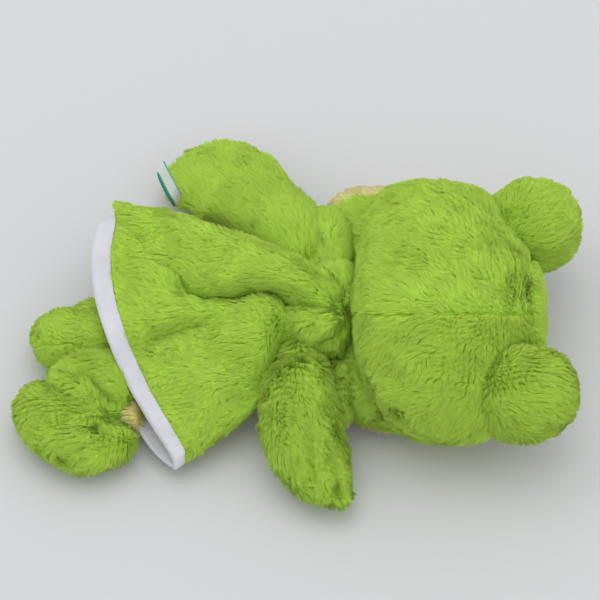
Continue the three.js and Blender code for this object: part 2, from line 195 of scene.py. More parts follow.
@dataclass(frozen=True)
class PlushFinish:
    """Dyed polyester minky with a cut pile, matt. Its dark root colour is painted shade among the fibres, and
    its tips are paler.
    """

    name: str
    root: str
    middle: str
    tip: str

    def pile(self) -> bpy.types.Material:
        """The fibres, whose UV map says how far along the bunch a place is, and the bunch's own tone.

        Returns:
            The new material.
        """
        nodes = NodeTree(f"{self.name}_pile")
        layout = nodes.add("ShaderNodeUVMap", uv_map="OFBake")
        split = nodes.add("ShaderNodeSeparateXYZ", {0: layout.outputs[0]})
        # The ramp starts at the root colour, which is painted shade deep among the fibres, and grows paler
        # towards the tip.
        along = nodes.ramp(split.outputs[1], [(0.0, self.root), (0.32, self.middle), (1.0, self.tip)])
        bright = nodes.add("ShaderNodeMapRange", {"Value": split.outputs[0], "To Min": 0.86, "To Max": 1.1})
        toned = nodes.add("ShaderNodeHueSaturation", {"Color": along, "Value": bright.outputs[0]})
        nodes.feed(nodes.shader.inputs["Base Color"], toned.outputs[0])
        nodes.set(Roughness=0.8, Sheen_Weight=0.25, Sheen_Roughness=0.5, Specular_IOR_Level=0.1)
        nodes.feed(nodes.shader.inputs["Sheen Tint"], linear(self.tip))
        return nodes.material

    def backing(self) -> bpy.types.Material:
        """The knitted cloth under the pile, coloured from the root colour to the middle one as painted shade
        between the bunches.

        Returns:
            The new material.
        """
        nodes = NodeTree(f"{self.name}_backing")
        # The dark root colour here is painted shade that shows between the bunches.
        colour = nodes.ramp(nodes.noise(9), [(0.3, self.root), (0.7, self.middle)])
        nodes.feed(nodes.shader.inputs["Base Color"], colour)
        nodes.bump(nodes.noise(1.5), distance=0.6, strength=0.8)
        nodes.set(Roughness=0.9, Specular_IOR_Level=0.2)
        return nodes.material


@dataclass(frozen=True)
class ClothFinish:
    """A woven polyester cloth: fine threads that only just show, and a soft sheen."""

    name: str
    colour: str
    shade: str
    thread: float = 0.9

    def material(self) -> bpy.types.Material:
        """The cloth, with threads drawn coarser than the real 0.3 mm so that they show at all.

        Returns:
            The new material.
        """
        nodes = NodeTree(self.name)
        colour = nodes.ramp(nodes.noise(14), [(0.3, self.shade), (0.7, self.colour)])
        nodes.feed(nodes.shader.inputs["Base Color"], colour)
        scale = {"Vector": nodes.place(), "Scale": 1 / (self.thread * MM * math.pi)}
        warp = nodes.add("ShaderNodeTexWave", scale, bands_direction="X")
        weft = nodes.add("ShaderNodeTexWave", scale, bands_direction="Y")
        weave = nodes.add("ShaderNodeMath", {0: warp.outputs[1], 1: weft.outputs[1]}, operation="ADD")
        nodes.bump(weave.outputs[0], distance=0.12, strength=0.35)
        nodes.set(Roughness=0.62, Sheen_Weight=0.25, Specular_IOR_Level=0.35)
        return nodes.material


@dataclass(frozen=True)
class PlasticFinish:
    """Injection-moulded plastic: glossy on the eyes, satin on the washers."""

    name: str
    colour: str
    roughness: float

    def material(self) -> bpy.types.Material:
        """The plastic, with a faint unevenness left by the mould.

        Returns:
            The new material.
        """
        nodes = NodeTree(self.name)
        nodes.feed(nodes.shader.inputs["Base Color"], linear(self.colour))
        rough = {"Value": nodes.noise(3), "To Min": self.roughness * 0.8, "To Max": self.roughness * 1.3}
        nodes.feed(nodes.shader.inputs["Roughness"], nodes.add("ShaderNodeMapRange", rough).outputs[0])
        nodes.set(IOR=1.5)
        return nodes.material


# Each plush's first colour, at the roots, is darkened as painted shade among the fibres.
GREEN = PlushFinish("green_minky", "#77a524", "#bbe94b", "#d1f968")
YELLOW = PlushFinish("yellow_minky", "#ddcd6c", "#fff38e", "#fffbbe")
LINING = ClothFinish("white_satin_lining", "#d9dbe0", "#ccced6")
FELT = ClothFinish("white_felt", "#f2f2ec", "#e4e4dc", 1.6)
LABEL = ClothFinish("woven_label", "#e6eeee", "#d5e2e2")
LABEL_EDGE = ClothFinish("woven_label_edge", "#58b3ae", "#4aa39f")
EYE_PLASTIC = PlasticFinish("black_eye_plastic", "#0b0b0d", 0.1)
WASHER_PLASTIC = PlasticFinish("white_washer_plastic", "#dcdcd6", 0.45)


@dataclass(frozen=True)
class Pile:
    """How a plush pile grows.

    Attributes:
        length: a bunch of fibres' length in mm.
        width: half its width at the root in mm.
        density: bunches per square mm on top of the puppet.
        lean: how far it leans over from upright, in radians.
        ruffle: how much its heading is stirred, from 0 to 1.
        clump: the size in mm of the patches that lie together.
        tuft: the size in mm of the small tufts whose tips cling together.
        cling: how much they cling, from 0 to 1.
        parting: how deep the dark partings between the patches are, from 0 to 1.
    """

    length: float = 5.4
    width: float = 0.43
    density: float = 4.3
    lean: float = 0.9
    ruffle: float = 0.6
    clump: float = 8.0
    tuft: float = 2.7
    # parting: how deep the partings between the patches are, from 0 to 1; they are also painted darker, as
    # painted shade.
    cling: float = 0.5
    parting: float = 0.7


def smooth_noise(points: Points, size: float, seed: int) -> Points:
    """Smooth random values from -1 to 1.

    Args:
        points: rows of x, y, z.
        size: the size of one feature, in the points' own unit.
        seed: which field to read.

    Returns:
        One value a point.
    """
    place = points / size + 31.7 * seed
    cell = np.floor(place).astype(np.int64)
    part = place - cell
    part = part * part * (3 - 2 * part)
    total = np.zeros(len(points))
    for corner in np.ndindex(2, 2, 2):
        at = cell + corner
        mixed = np.bitwise_xor.reduce(at * CELL_FACTORS, axis=1) ^ (seed * SEED_FACTOR)
        mixed = ((mixed ^ (mixed >> 13)) * MIXING_FACTOR) & LOW_BITS
        value = (mixed ^ (mixed >> 16)) / LOW_BITS * 2 - 1
        total += value * np.where(np.array(corner) == 1, part, 1 - part).prod(axis=1)
    return total


def noise_vectors(points: Points, size: float, seed: int) -> Points:
    """Three fields of smooth noise as the columns of one array."""
    return np.stack([smooth_noise(points, size, seed + i) for i in range(3)], axis=1)


def unit(vectors: Points) -> Points:
    """Each row scaled to length 1."""
    return vectors / np.maximum(np.linalg.norm(vectors, axis=1, keepdims=True), 1e-9)


def ease(share: Points) -> Points:
    """A smooth step from 0 to 1."""
    held = np.clip(share, 0, 1)
    return held * held * (3 - 2 * held)


def bell(value: Points, centre: float, width: float) -> Points:
    """A rounded rise of height 1."""
    return np.exp(-(((value - centre) / width) ** 2))


def rounded_length(vectors: Points, power: float) -> Points:
    """The length of each row as a column, where a power above 2 measures by a squarer ball."""
    return (np.abs(vectors) ** power).sum(axis=1, keepdims=True) ** (1 / power)


def drawing_offset() -> Points:
    """Where the drawing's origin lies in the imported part, in mm."""
    low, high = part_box("neck_band")
    return (np.array(low) + np.array(high)) / 2 / MM - NECK_CENTRE


def in_frame(point: tuple[float, float, float]) -> tuple[float, float, float]:
    """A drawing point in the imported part, in metres."""
    return tuple(((np.array(point) + drawing_offset()) * MM).tolist())


def node_box(node: str) -> tuple[Points, Points]:
    """The lowest and the highest corner of one of the drawing's nodes, in drawing mm."""
    return tuple(np.array(corner) / MM - drawing_offset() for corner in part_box(node))


class Skin:
    """A skin in drawing millimetres, from which a pile can grow."""

    def __init__(self, points: Points, faces: list[tuple[int, ...]], closed: bool = True) -> None:
        """Takes points and faces, and turns a closed skin's faces outwards.

        Args:
            points: rows of x, y, z.
            faces: each face as the numbers of its points.
            closed: whether it has no open edge.
        """
        self.points = points
        self.triangles = np.array([(f[0], f[i], f[i + 1]) for f in faces for i in range(1, len(f) - 1)])
        a, b, c = self.corners()
        if closed and np.einsum("ij,ij->i", a, np.cross(b, c)).sum() < 0:
            self.triangles = self.triangles[:, ::-1]

    def corners(self) -> tuple[Points, Points, Points]:
        """The three corners of every triangle."""
        return tuple(self.points[self.triangles[:, i]] for i in range(3))

    def normals(self) -> Points:
        """The way out at each point.

        Returns:
            One row of length 1 for each point.
        """
        a, b, c = self.corners()
        face = np.cross(b - a, c - a)
        total = np.zeros_like(self.points)
        for i in range(3):
            np.add.at(total, self.triangles[:, i], face)
        return unit(total)

    def scatter(self, density: float, random: np.random.Generator) -> tuple[Points, Points]:
        """Random places on the skin, fewer underneath where the puppet lies on it.

        Args:
            density: places per square mm.
            random: where the numbers come from.

        Returns:
            The places and the skin's normals there.
        """
        a, b, c = self.corners()
        areas = np.linalg.norm(np.cross(b - a, c - a), axis=1) / 2
        count = int(areas.sum() * density)
        chosen = np.searchsorted(np.cumsum(areas), random.random(count) * areas.sum())
        chosen = np.minimum(chosen, len(areas) - 1)
        first, second = random.random((2, count, 1))
        folded = first + second > 1
        first = np.where(folded, 1 - first, first)
        second = np.where(folded, 1 - second, second)
        spots = a[chosen] + first * (b - a)[chosen] + second * (c - a)[chosen]
        skin = self.normals()
        n0, n1, n2 = (skin[self.triangles[chosen, i]] for i in range(3))
        normals = unit(n0 + first * (n1 - n0) + second * (n2 - n0))
        thinning = 0.62 * ease(-normals[:, 2] * 2.5 - 0.2)
        kept = random.random(count) > thinning
        return spots[kept], normals[kept]

    def settle(self) -> "Skin":
        """Lifts every point that would be under the floor."""
        self.points[:, 2] = np.maximum(self.points[:, 2], FLOOR_CLEAR)
        return self

    def move(self, rise: Points) -> "Skin":
        """Moves every point out along its normal."""
        self.points = self.points + self.normals() * rise[:, None]
        return self.settle()

    def lumps(self, size: float, height: float, seed: int) -> "Skin":
        """Gives a stuffed skin its soft unevenness."""
        return self.move(smooth_noise(self.points, size, seed) * height)

    def creased(self, creases: tuple["Crease", ...]) -> "Skin":
        """Draws the upper side in or out along fold lines.

        Args:
            creases: the fold lines.

        Returns:
            This skin.
        """
        upper = ease(self.normals()[:, 2] * 1.6 + 0.3)
        rise = np.zeros(len(self.points))
        for crease in creases:
            rise = rise + crease.rise(self.points)
        return self.move(rise * upper)

    def cloth_area(self) -> float:
        """The area in square mm of the cloth that a thin closed wall stands for: half its surface."""
        a, b, c = self.corners()
        return float(np.linalg.norm(np.cross(b - a, c - a), axis=1).sum() / 4)


def ball_skin(segments: int, rings: int, place: Callable[[Points], Points]) -> Skin:
    """A sphere's points moved by a function.

    Args:
        segments: divisions round the axis, which is Z of the plain sphere.
        rings: divisions along it.
        place: takes the unit sphere's points and returns the skin's.

    Returns:
        The closed skin.
    """
    bpy.ops.object.select_all(action="DESELECT")
    bpy.ops.mesh.primitive_uv_sphere_add(segments=segments, ring_count=rings, radius=1)
    ball = bpy.context.object
    plain = np.empty(len(ball.data.vertices) * 3)
    ball.data.vertices.foreach_get("co", plain)
    # Blender lists the ball's faces in another order each run, and random places depend on that order.
    faces = sorted(tuple(face.vertices) for face in ball.data.polygons)
    bpy.data.meshes.remove(ball.data)
    return Skin(place(plain.reshape(-1, 3)), faces)


@dataclass(frozen=True)
class Pebble:
    """A rounded stuffed form: power 2 is an ellipsoid, and a higher power is squarer."""

    centre: tuple[float, float, float]
    half: tuple[float, float, float]
    power: float

    def skin(self, inset: float, segments: int = 80, rings: int = 48) -> Skin:
        """Its skin, drawn in by the pile's depth.

        Args:
            inset: how far it is drawn in, in mm.
            segments: divisions round Z.
            rings: divisions along Z.

        Returns:
            The closed skin.
        """

        def place(ball: Points) -> Points:
            """The pebble's points for those of a unit ball."""
            outward = ball / rounded_length(ball, self.power)
            return outward * (np.array(self.half) - inset) + np.array(self.centre)

        return ball_skin(segments, rings, place).settle()


@dataclass(frozen=True)
class JoinedPebbles:
    """Pebbles grown together as one skin round a point that lies in all of them.

    Attributes:
        parts: the pebbles.
        middle: the point.
        sharpness: how tightly the skin follows the groove between them.
        reach: a distance from the point that is surely outside, in mm.
    """

    parts: tuple[Pebble, ...]
    middle: tuple[float, float, float]
    sharpness: float = 11
    reach: float = 140

    def size(self, places: Points, inset: float) -> Points:
        """How far out each place is.

        Args:
            places: rows of x, y, z.
            inset: how far the skin is drawn in, in mm.

        Returns:
            One value a place: below 1 inside, and 1 on the skin.
        """
        total = np.zeros(len(places))
        for part in self.parts:
            away = (places - np.array(part.centre)) / (np.array(part.half) - inset)
            total += np.exp(-self.sharpness * rounded_length(away, part.power)[:, 0])
        return -np.log(np.maximum(total, 1e-300)) / self.sharpness

    def skin(self, inset: float, segments: int, rings: int) -> Skin:
        """Its skin, drawn in by the pile's depth.

        Args:
            inset: how far it is drawn in, in mm.
            segments: divisions round Z.
            rings: divisions along Z.

        Returns:
            The closed skin.
        """
        middle = np.array(self.middle)

        def place(ball: Points) -> Points:
            """Finds the skin along each ray from the middle by halving.

            Args:
                ball: the rays, each of length 1.

            Returns:
                The skin's points.
            """
            near, far = np.zeros(len(ball)), np.full(len(ball), self.reach)
            for _ in range(HALVINGS):
                half = (near + far) / 2
                inside = self.size(middle + ball * half[:, None], inset) < 1
                near, far = np.where(inside, half, near), np.where(inside, far, half)
            return middle + ball * far[:, None]

        return ball_skin(segments, rings, place).settle()


def curve_at(points: Points, share: Points) -> Points:
    """A smooth curve through points.

    Args:
        points: rows of x, y, z.
        share: where to read it, from 0 at the first point to 1 at the last.

    Returns:
        One place a share.
    """
    last = len(points) - 1
    padded = np.vstack([2 * points[0] - points[1], points, 2 * points[-1] - points[-2]])
    index = np.clip(np.floor(share * last).astype(int), 0, last - 1)
    t = (share * last - index)[:, None]
    p0, p1, p2, p3 = (padded[index + i] for i in range(4))
    square = 2 * p0 - 5 * p1 + 4 * p2 - p3
    cube = 3 * p1 - p0 - 3 * p2 + p3
    return 0.5 * (2 * p1 + (p2 - p0) * t + square * t**2 + cube * t**3)


@dataclass(frozen=True)
class Limb:
    """A stuffed limb along a curve, with its half width and half height at even steps."""

    points: tuple[tuple[float, float, float], ...]
    half_widths: tuple[float, ...]
    half_heights: tuple[float, ...]
    power: float

    def skin(self, inset: float, segments: int = 56, rings: int = 44) -> Skin:
        """Its skin, drawn in by the pile's depth.

        Args:
            inset: how far it is drawn in, in mm.
            segments: divisions round the curve.
            rings: divisions along the curve.

        Returns:
            The closed skin.
        """
        table = curve_at(np.array(self.points, float), np.linspace(0, 1, 200))
        walked = np.concatenate([[0], np.cumsum(np.linalg.norm(np.diff(table, axis=0), axis=1))])
        length = walked[-1]
        step = 1.5

        def on_curve(distance: Points) -> Points:
            """The curve's places at distances along it."""
            return np.stack([np.interp(distance, walked, table[:, i]) for i in range(3)], axis=1)

        def place(ball: Points) -> Points:
            """Lays a unit ball's rings along the curve.

            Args:
                ball: rows of x, y, z.

            Returns:
                The limb's points.
            """
            distance = inset + (length - 2 * inset) * (1 - ball[:, 2]) / 2
            run = unit(on_curve(distance + step) - on_curve(distance - step))
            side = unit(np.stack([-run[:, 1], run[:, 0], np.zeros(len(run))], axis=1))
            rise = np.cross(run, side)
            ring = np.maximum(np.hypot(ball[:, 0], ball[:, 1]), 1e-9)
            fuller = (1 - np.minimum(1, np.abs(ball[:, 2])) ** self.power) ** (1 / self.power) / ring
            steps = np.linspace(0, length, len(self.half_widths))
            width = (np.interp(distance, steps, self.half_widths) - inset) * fuller
            height = (np.interp(distance, steps, self.half_heights) - inset) * fuller
            spot = on_curve(distance) + side * (ball[:, 0] * width)[:, None]
            return spot + rise * (ball[:, 1] * height)[:, None]

        return ball_skin(segments, rings, place).settle()


def toward(x: float, y: float, z: float = 0.0) -> Heading:
    """A nap that lies one way all over."""
    heading = np.array([x, y, z], float)
    return lambda places: np.tile(heading / np.linalg.norm(heading), (len(places), 1))


def away_from(x: float, y: float, z: float) -> Heading:
    """A nap that fans out from a point."""
    return lambda places: unit(places - np.array([x, y, z], float))


def mesh_object(
    name: str, points: Points, triangles: Points, material: bpy.types.Material
) -> bpy.types.Object:
    """A smooth-shaded mesh object.

    Args:
        name: the piece's name.
        points: rows of x, y, z in drawing mm.
        triangles: rows of three point numbers.
        material: its finish.

    Returns:
        The new object, in the scene.
    """
    mesh = bpy.data.meshes.new(name)
    mesh.vertices.add(len(points))
    mesh.vertices.foreach_set("co", ((points + drawing_offset()) * MM).ravel())
    mesh.loops.add(len(triangles) * 3)
    mesh.loops.foreach_set("vertex_index", triangles.ravel().astype(np.int32))
    mesh.polygons.add(len(triangles))
    mesh.polygons.foreach_set("loop_start", np.arange(0, len(triangles) * 3, 3, dtype=np.int32))
    mesh.update(calc_edges=True)
    mesh.polygons.foreach_set("use_smooth", np.ones(len(triangles), bool))
    mesh.materials.append(material)
    piece = bpy.data.objects.new(name, mesh)
    bpy.context.scene.collection.objects.link(piece)
    LOG.info("%s: %d triangles", name, len(triangles))
    return piece


def cloth_piece(
    name: str, wall: Skin, material: bpy.types.Material, body: str, node: str
) -> bpy.types.Object:
    """A piece of cloth.

    Args:
        name: the piece's name.
        wall: its closed wall.
        material: its finish.
        body: the body that it rides on.
        node: the node that it stands for.

    Returns:
        The new object.
    """
    piece = mesh_object(name, wall.points, wall.triangles, material)
    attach(piece, body)
    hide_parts(node)
    return piece


def combed(
    places: Points, normals: Points, pile: Pile, nap: Heading, seed: int, random: np.random.Generator
) -> Points:
    """The way each bunch of fibres lies along the skin.

    Args:
        places: the bunches' roots.
        normals: the skin's normals there.
        pile: how the pile grows.
        nap: the heading in which it lies.
        seed: for the smooth noise.
        random: where each bunch's own numbers come from.

    Returns:
        One row of length 1 for each bunch.
    """
    heading = nap(places) + noise_vectors(places, pile.clump, seed) * pile.ruffle * 1.5
    heading = heading + noise_vectors(places, pile.clump / 3, seed + 5) * pile.ruffle * 0.7
    heading = heading + random.normal(0, 0.2, heading.shape)
    return unit(heading - normals * (heading * normals).sum(axis=1, keepdims=True))


def partings(places: Points, pile: Pile, nap: Heading, seed: int) -> Points:
    """How deep the pile is parted: short gaps that run with the nap, here and there, which grow_pile shortens
    and paints darker as painted shade.

    Args:
        places: the bunches' roots.
        pile: how the pile grows.
        nap: the heading in which it lies.
        seed: for the smooth noise.

    Returns:
        One depth a place, from 0 to the pile's own.
    """
    run = nap(places)
    stretched = places - run * (places * run).sum(axis=1, keepdims=True) * 0.45
    spots = smooth_noise(stretched + noise_vectors(places, 6, seed + 11) * 2.0, 2.3, seed + 13)
    line = smooth_noise(stretched, pile.clump * 0.7, seed + 19)
    where = ease(smooth_noise(places, 15, seed + 17) * 1.4 + 0.5)
    return np.maximum(ease(spots * 2.4 - 0.6), bell(line, 0, 0.05)) * where * pile.parting


def clung(tips: Points, roots: Points, pile: Pile, seed: int) -> Points:
    """Draws the tips of neighbouring bunches together into tufts.

    Args:
        tips: the bunches' tips.
        roots: their roots.
        pile: how the pile grows.
        seed: for the smooth noise.

    Returns:
        The new tips.
    """
    warped = roots + noise_vectors(roots, 7, seed + 23) * 2.0
    cells = np.floor(warped / pile.tuft).astype(np.int64)
    keys = (cells[:, 0] * 92821 + cells[:, 1]) * 92821 + cells[:, 2]
    group = np.unique(keys, return_inverse=True)[1]
    size = np.bincount(group)
    middle = np.stack([np.bincount(group, tips[:, i]) / size for i in range(3)], axis=1)
    return tips + (middle[group] - tips) * pile.cling


def grow_pile(
    name: str,
    skin: Skin,
    finish: PlushFinish,
    nap: Heading,
    seed: int,
    pile: Pile = Pile(),
    keep: Callable[[Points], Points] | None = None,
    calm: Callable[[Points], Points] | None = None,
) -> bpy.types.Object:
    """Grows a plush pile as one mesh of pointed bunches of fibres.

    Args:
        name: the piece's name.
        skin: what it grows on.
        finish: its colours.
        nap: the heading in which it lies.
        seed: for the random numbers.
        pile: how it grows.
        keep: says at which roots it grows; at all of them when it is left out.
        calm: says how evenly it lies at each root, from 0 to 1 where it has neither partings nor tufts.

    Returns:
        The new object.
    """
    random = np.random.default_rng(seed)
    roots, normals = skin.scatter(pile.density, random)
    if keep is not None:
        kept = keep(roots)
        roots, normals = roots[kept], normals[kept]
    thinned = max(1.0, len(roots) / MOST_BUNCHES)
    roots, normals = roots[:MOST_BUNCHES], normals[:MOST_BUNCHES]
    heading = combed(roots, normals, pile, nap, seed, random)
    stirred = np.ones(len(roots)) if calm is None else 1 - calm(roots)
    parted = partings(roots, pile, nap, seed) * stirred
    swaying = smooth_noise(roots, pile.clump * 0.7, seed + 9) * 0.3
    lean = pile.lean + swaying + random.normal(0, 0.1, len(roots))
    lean = np.clip(lean + parted * 0.3, *LEAN_RANGE)
    way = normals * np.cos(lean)[:, None] + heading * np.sin(lean)[:, None]
    uneven = 1 + random.normal(0, LENGTH_SPREAD, len(roots))
    uneven = uneven + LENGTH_SPREAD * smooth_noise(roots, 11, seed + 3)
    length = pile.length * uneven
    length = length * (1 - 0.7 * parted) * (0.5 + 0.5 * stirred)
    roots = roots - normals * ROOT_DEPTH
    tips = roots + way * length[:, None] + heading * (length * 0.1)[:, None]
    tips = tips + (clung(tips, roots, pile, seed) - tips) * stirred[:, None]
    across = unit(np.cross(way, normals + 0.01))
    other = np.cross(way, across)
    turn = random.random(len(roots)) * 2 * math.pi
    width = pile.width * math.sqrt(thinned) * np.where(normals[:, 2] < -0.2, UNDERSIDE_WIDENING, 1.0)
    corners = []
    for i in range(3):
        angle = turn + i * 2 * math.pi / 3
        side = roots + (width * np.cos(angle))[:, None] * across
        corners.append(side + (width * np.sin(angle))[:, None] * other)
    points = np.stack([*corners, tips], axis=1).reshape(-1, 3)
    points[:, 2] = np.maximum(points[:, 2], FLOOR_CLEAR)
    base = np.arange(len(roots))[:, None] * 4
    faces = np.concatenate([base + [0, 1, 3], base + [1, 2, 3], base + [2, 0, 3], base + [2, 1, 0]], axis=1)
    faces = faces.reshape(-1, 3)
    piece = mesh_object(name, points, faces, finish.pile())
    patches = 0.52 + 0.22 * smooth_noise(roots, 10, seed + 7)
    # Partings are painted darker in tone: painted shade in the gaps.
    tone = patches + random.normal(0, 0.12, len(roots)) - 0.35 * parted
    tone = np.clip(tone, *TONE_RANGE)[faces[:, 0] // 4]
    far = np.where(faces % 4 == 3, 0.96, 0.03)
    spread = np.tile([0.0, 0.012, 0.006], (len(faces), 1))
    layout = np.stack([tone[:, None] + spread, far + spread * 0.8], axis=2)
    piece.data.uv_layers.new(name="OFBake").data.foreach_set("uv", layout.ravel())
    shade = np.repeat(unit(normals + way * 0.5), 4, axis=0)
    piece.data.normals_split_custom_set_from_vertices(shade)
    return piece


def stuffed(name: str, skin: Skin, finish: PlushFinish, fill: float) -> bpy.types.Object:
    """The closed backing of a stuffed piece.

    Args:
        name: the piece's name.
        skin: its skin.
        finish: its plush.
        fill: how full it is, from 0 to 1; not used.

    Returns:
        The new object.
    """
    piece = mesh_object(name, skin.points, skin.triangles, finish.backing())
    return piece


def grid_faces(rows: int, columns: int, wrap: bool) -> list[tuple[int, ...]]:
    """The faces of a grid of points.

    Args:
        rows: how many rows it has.
        columns: how many columns it has.
        wrap: whether its last column joins its first.

    Returns:
        Each face as the numbers of its points.
    """
    faces = []
    for i in range(rows - 1):
        for j in range(columns if wrap else columns - 1):
            k = (j + 1) % columns
            faces.append((i * columns + j, i * columns + k, (i + 1) * columns + k, (i + 1) * columns + j))
    return faces


def shell(outer: Points, inner: Points, wrap: bool) -> Skin:
    """A closed wall between two grids of points.

    Args:
        outer: rows by columns by 3, the outer side.
        inner: the same grid on the inner side.
        wrap: whether the columns go all the way round.

    Returns:
        The closed skin.
    """
    rows, columns = outer.shape[:2]
    start = rows * columns
    faces = grid_faces(rows, columns, wrap)
    faces += [tuple(start + i for i in reversed(face)) for face in faces]
    around = columns if wrap else columns - 1
    for row, turned in ((0, True), (rows - 1, False)):
        for j in range(around):
            a, b = row * columns + j, row * columns + (j + 1) % columns
            faces.append((b, a, start + a, start + b) if turned else (a, b, start + b, start + a))
    if not wrap:
        for column, turned in ((0, False), (columns - 1, True)):
            for i in range(rows - 1):
                a, b = i * columns + column, (i + 1) * columns + column
                faces.append((b, a, start + a, start + b) if turned else (a, b, start + b, start + a))
    return Skin(np.vstack([outer.reshape(-1, 3), inner.reshape(-1, 3)]), faces)


@dataclass(frozen=True)
class Crease:
    """A fold line seen from above.

    Attributes:
        line: its x and y at each point.
        heights: its height at each point, below 0 in a valley.
        reach: how wide it is in mm on its near side.
        far_reach: how wide it is on its far side.
        lean: how far it leans to the far side for each mm of height.
        swell: how much wider it is at each point; the same all along when it is left out.
        form: a soft wave, or a full roll with upright sides.
    """

    line: tuple[tuple[float, float], ...]
    heights: tuple[float, ...]
    reach: float
    far_reach: float
    lean: float = 0.0
    swell: tuple[float, ...] = ()
    form: Fold = Fold.WAVE

    def rise(self, places: Points) -> Points:
        """How far the cloth is lifted.

        Args:
            places: rows of x, y, z, seen from above.

        Returns:
            One height a place, below 0 in a valley.
        """
        best = np.full(len(places), 1e9)
        lift = np.zeros(len(places))
        swell = self.swell or (1.0,) * len(self.line)
        for i in range(len(self.line) - 1):
            a, b = np.array(self.line[i], float), np.array(self.line[i + 1], float)
            run = b - a
            share = np.clip(((places[:, :2] - a) @ run) / (run @ run), 0, 1)
            gap = places[:, :2] - (a + share[:, None] * run)
            reach = np.where(gap[:, 1] > 0, self.far_reach, self.reach)
            breadth = (swell[i] + share * (swell[i + 1] - swell[i])) * reach
            distance = np.hypot(gap[:, 0], gap[:, 1]) / breadth
            height = self.heights[i] + share * (self.heights[i + 1] - self.heights[i])
            nearer = distance < best
            best = np.where(nearer, distance, best)
            wave = np.exp(-(distance**2))
            foot = 0.15 * np.exp(-((distance - 1) ** 2) / 0.05) * (distance > 1)
            roll = np.sqrt(np.maximum(0, 1 - distance**2)) + foot
            lift = np.where(nearer, height * (roll if self.form is Fold.ROLL else wave), lift)
        return lift


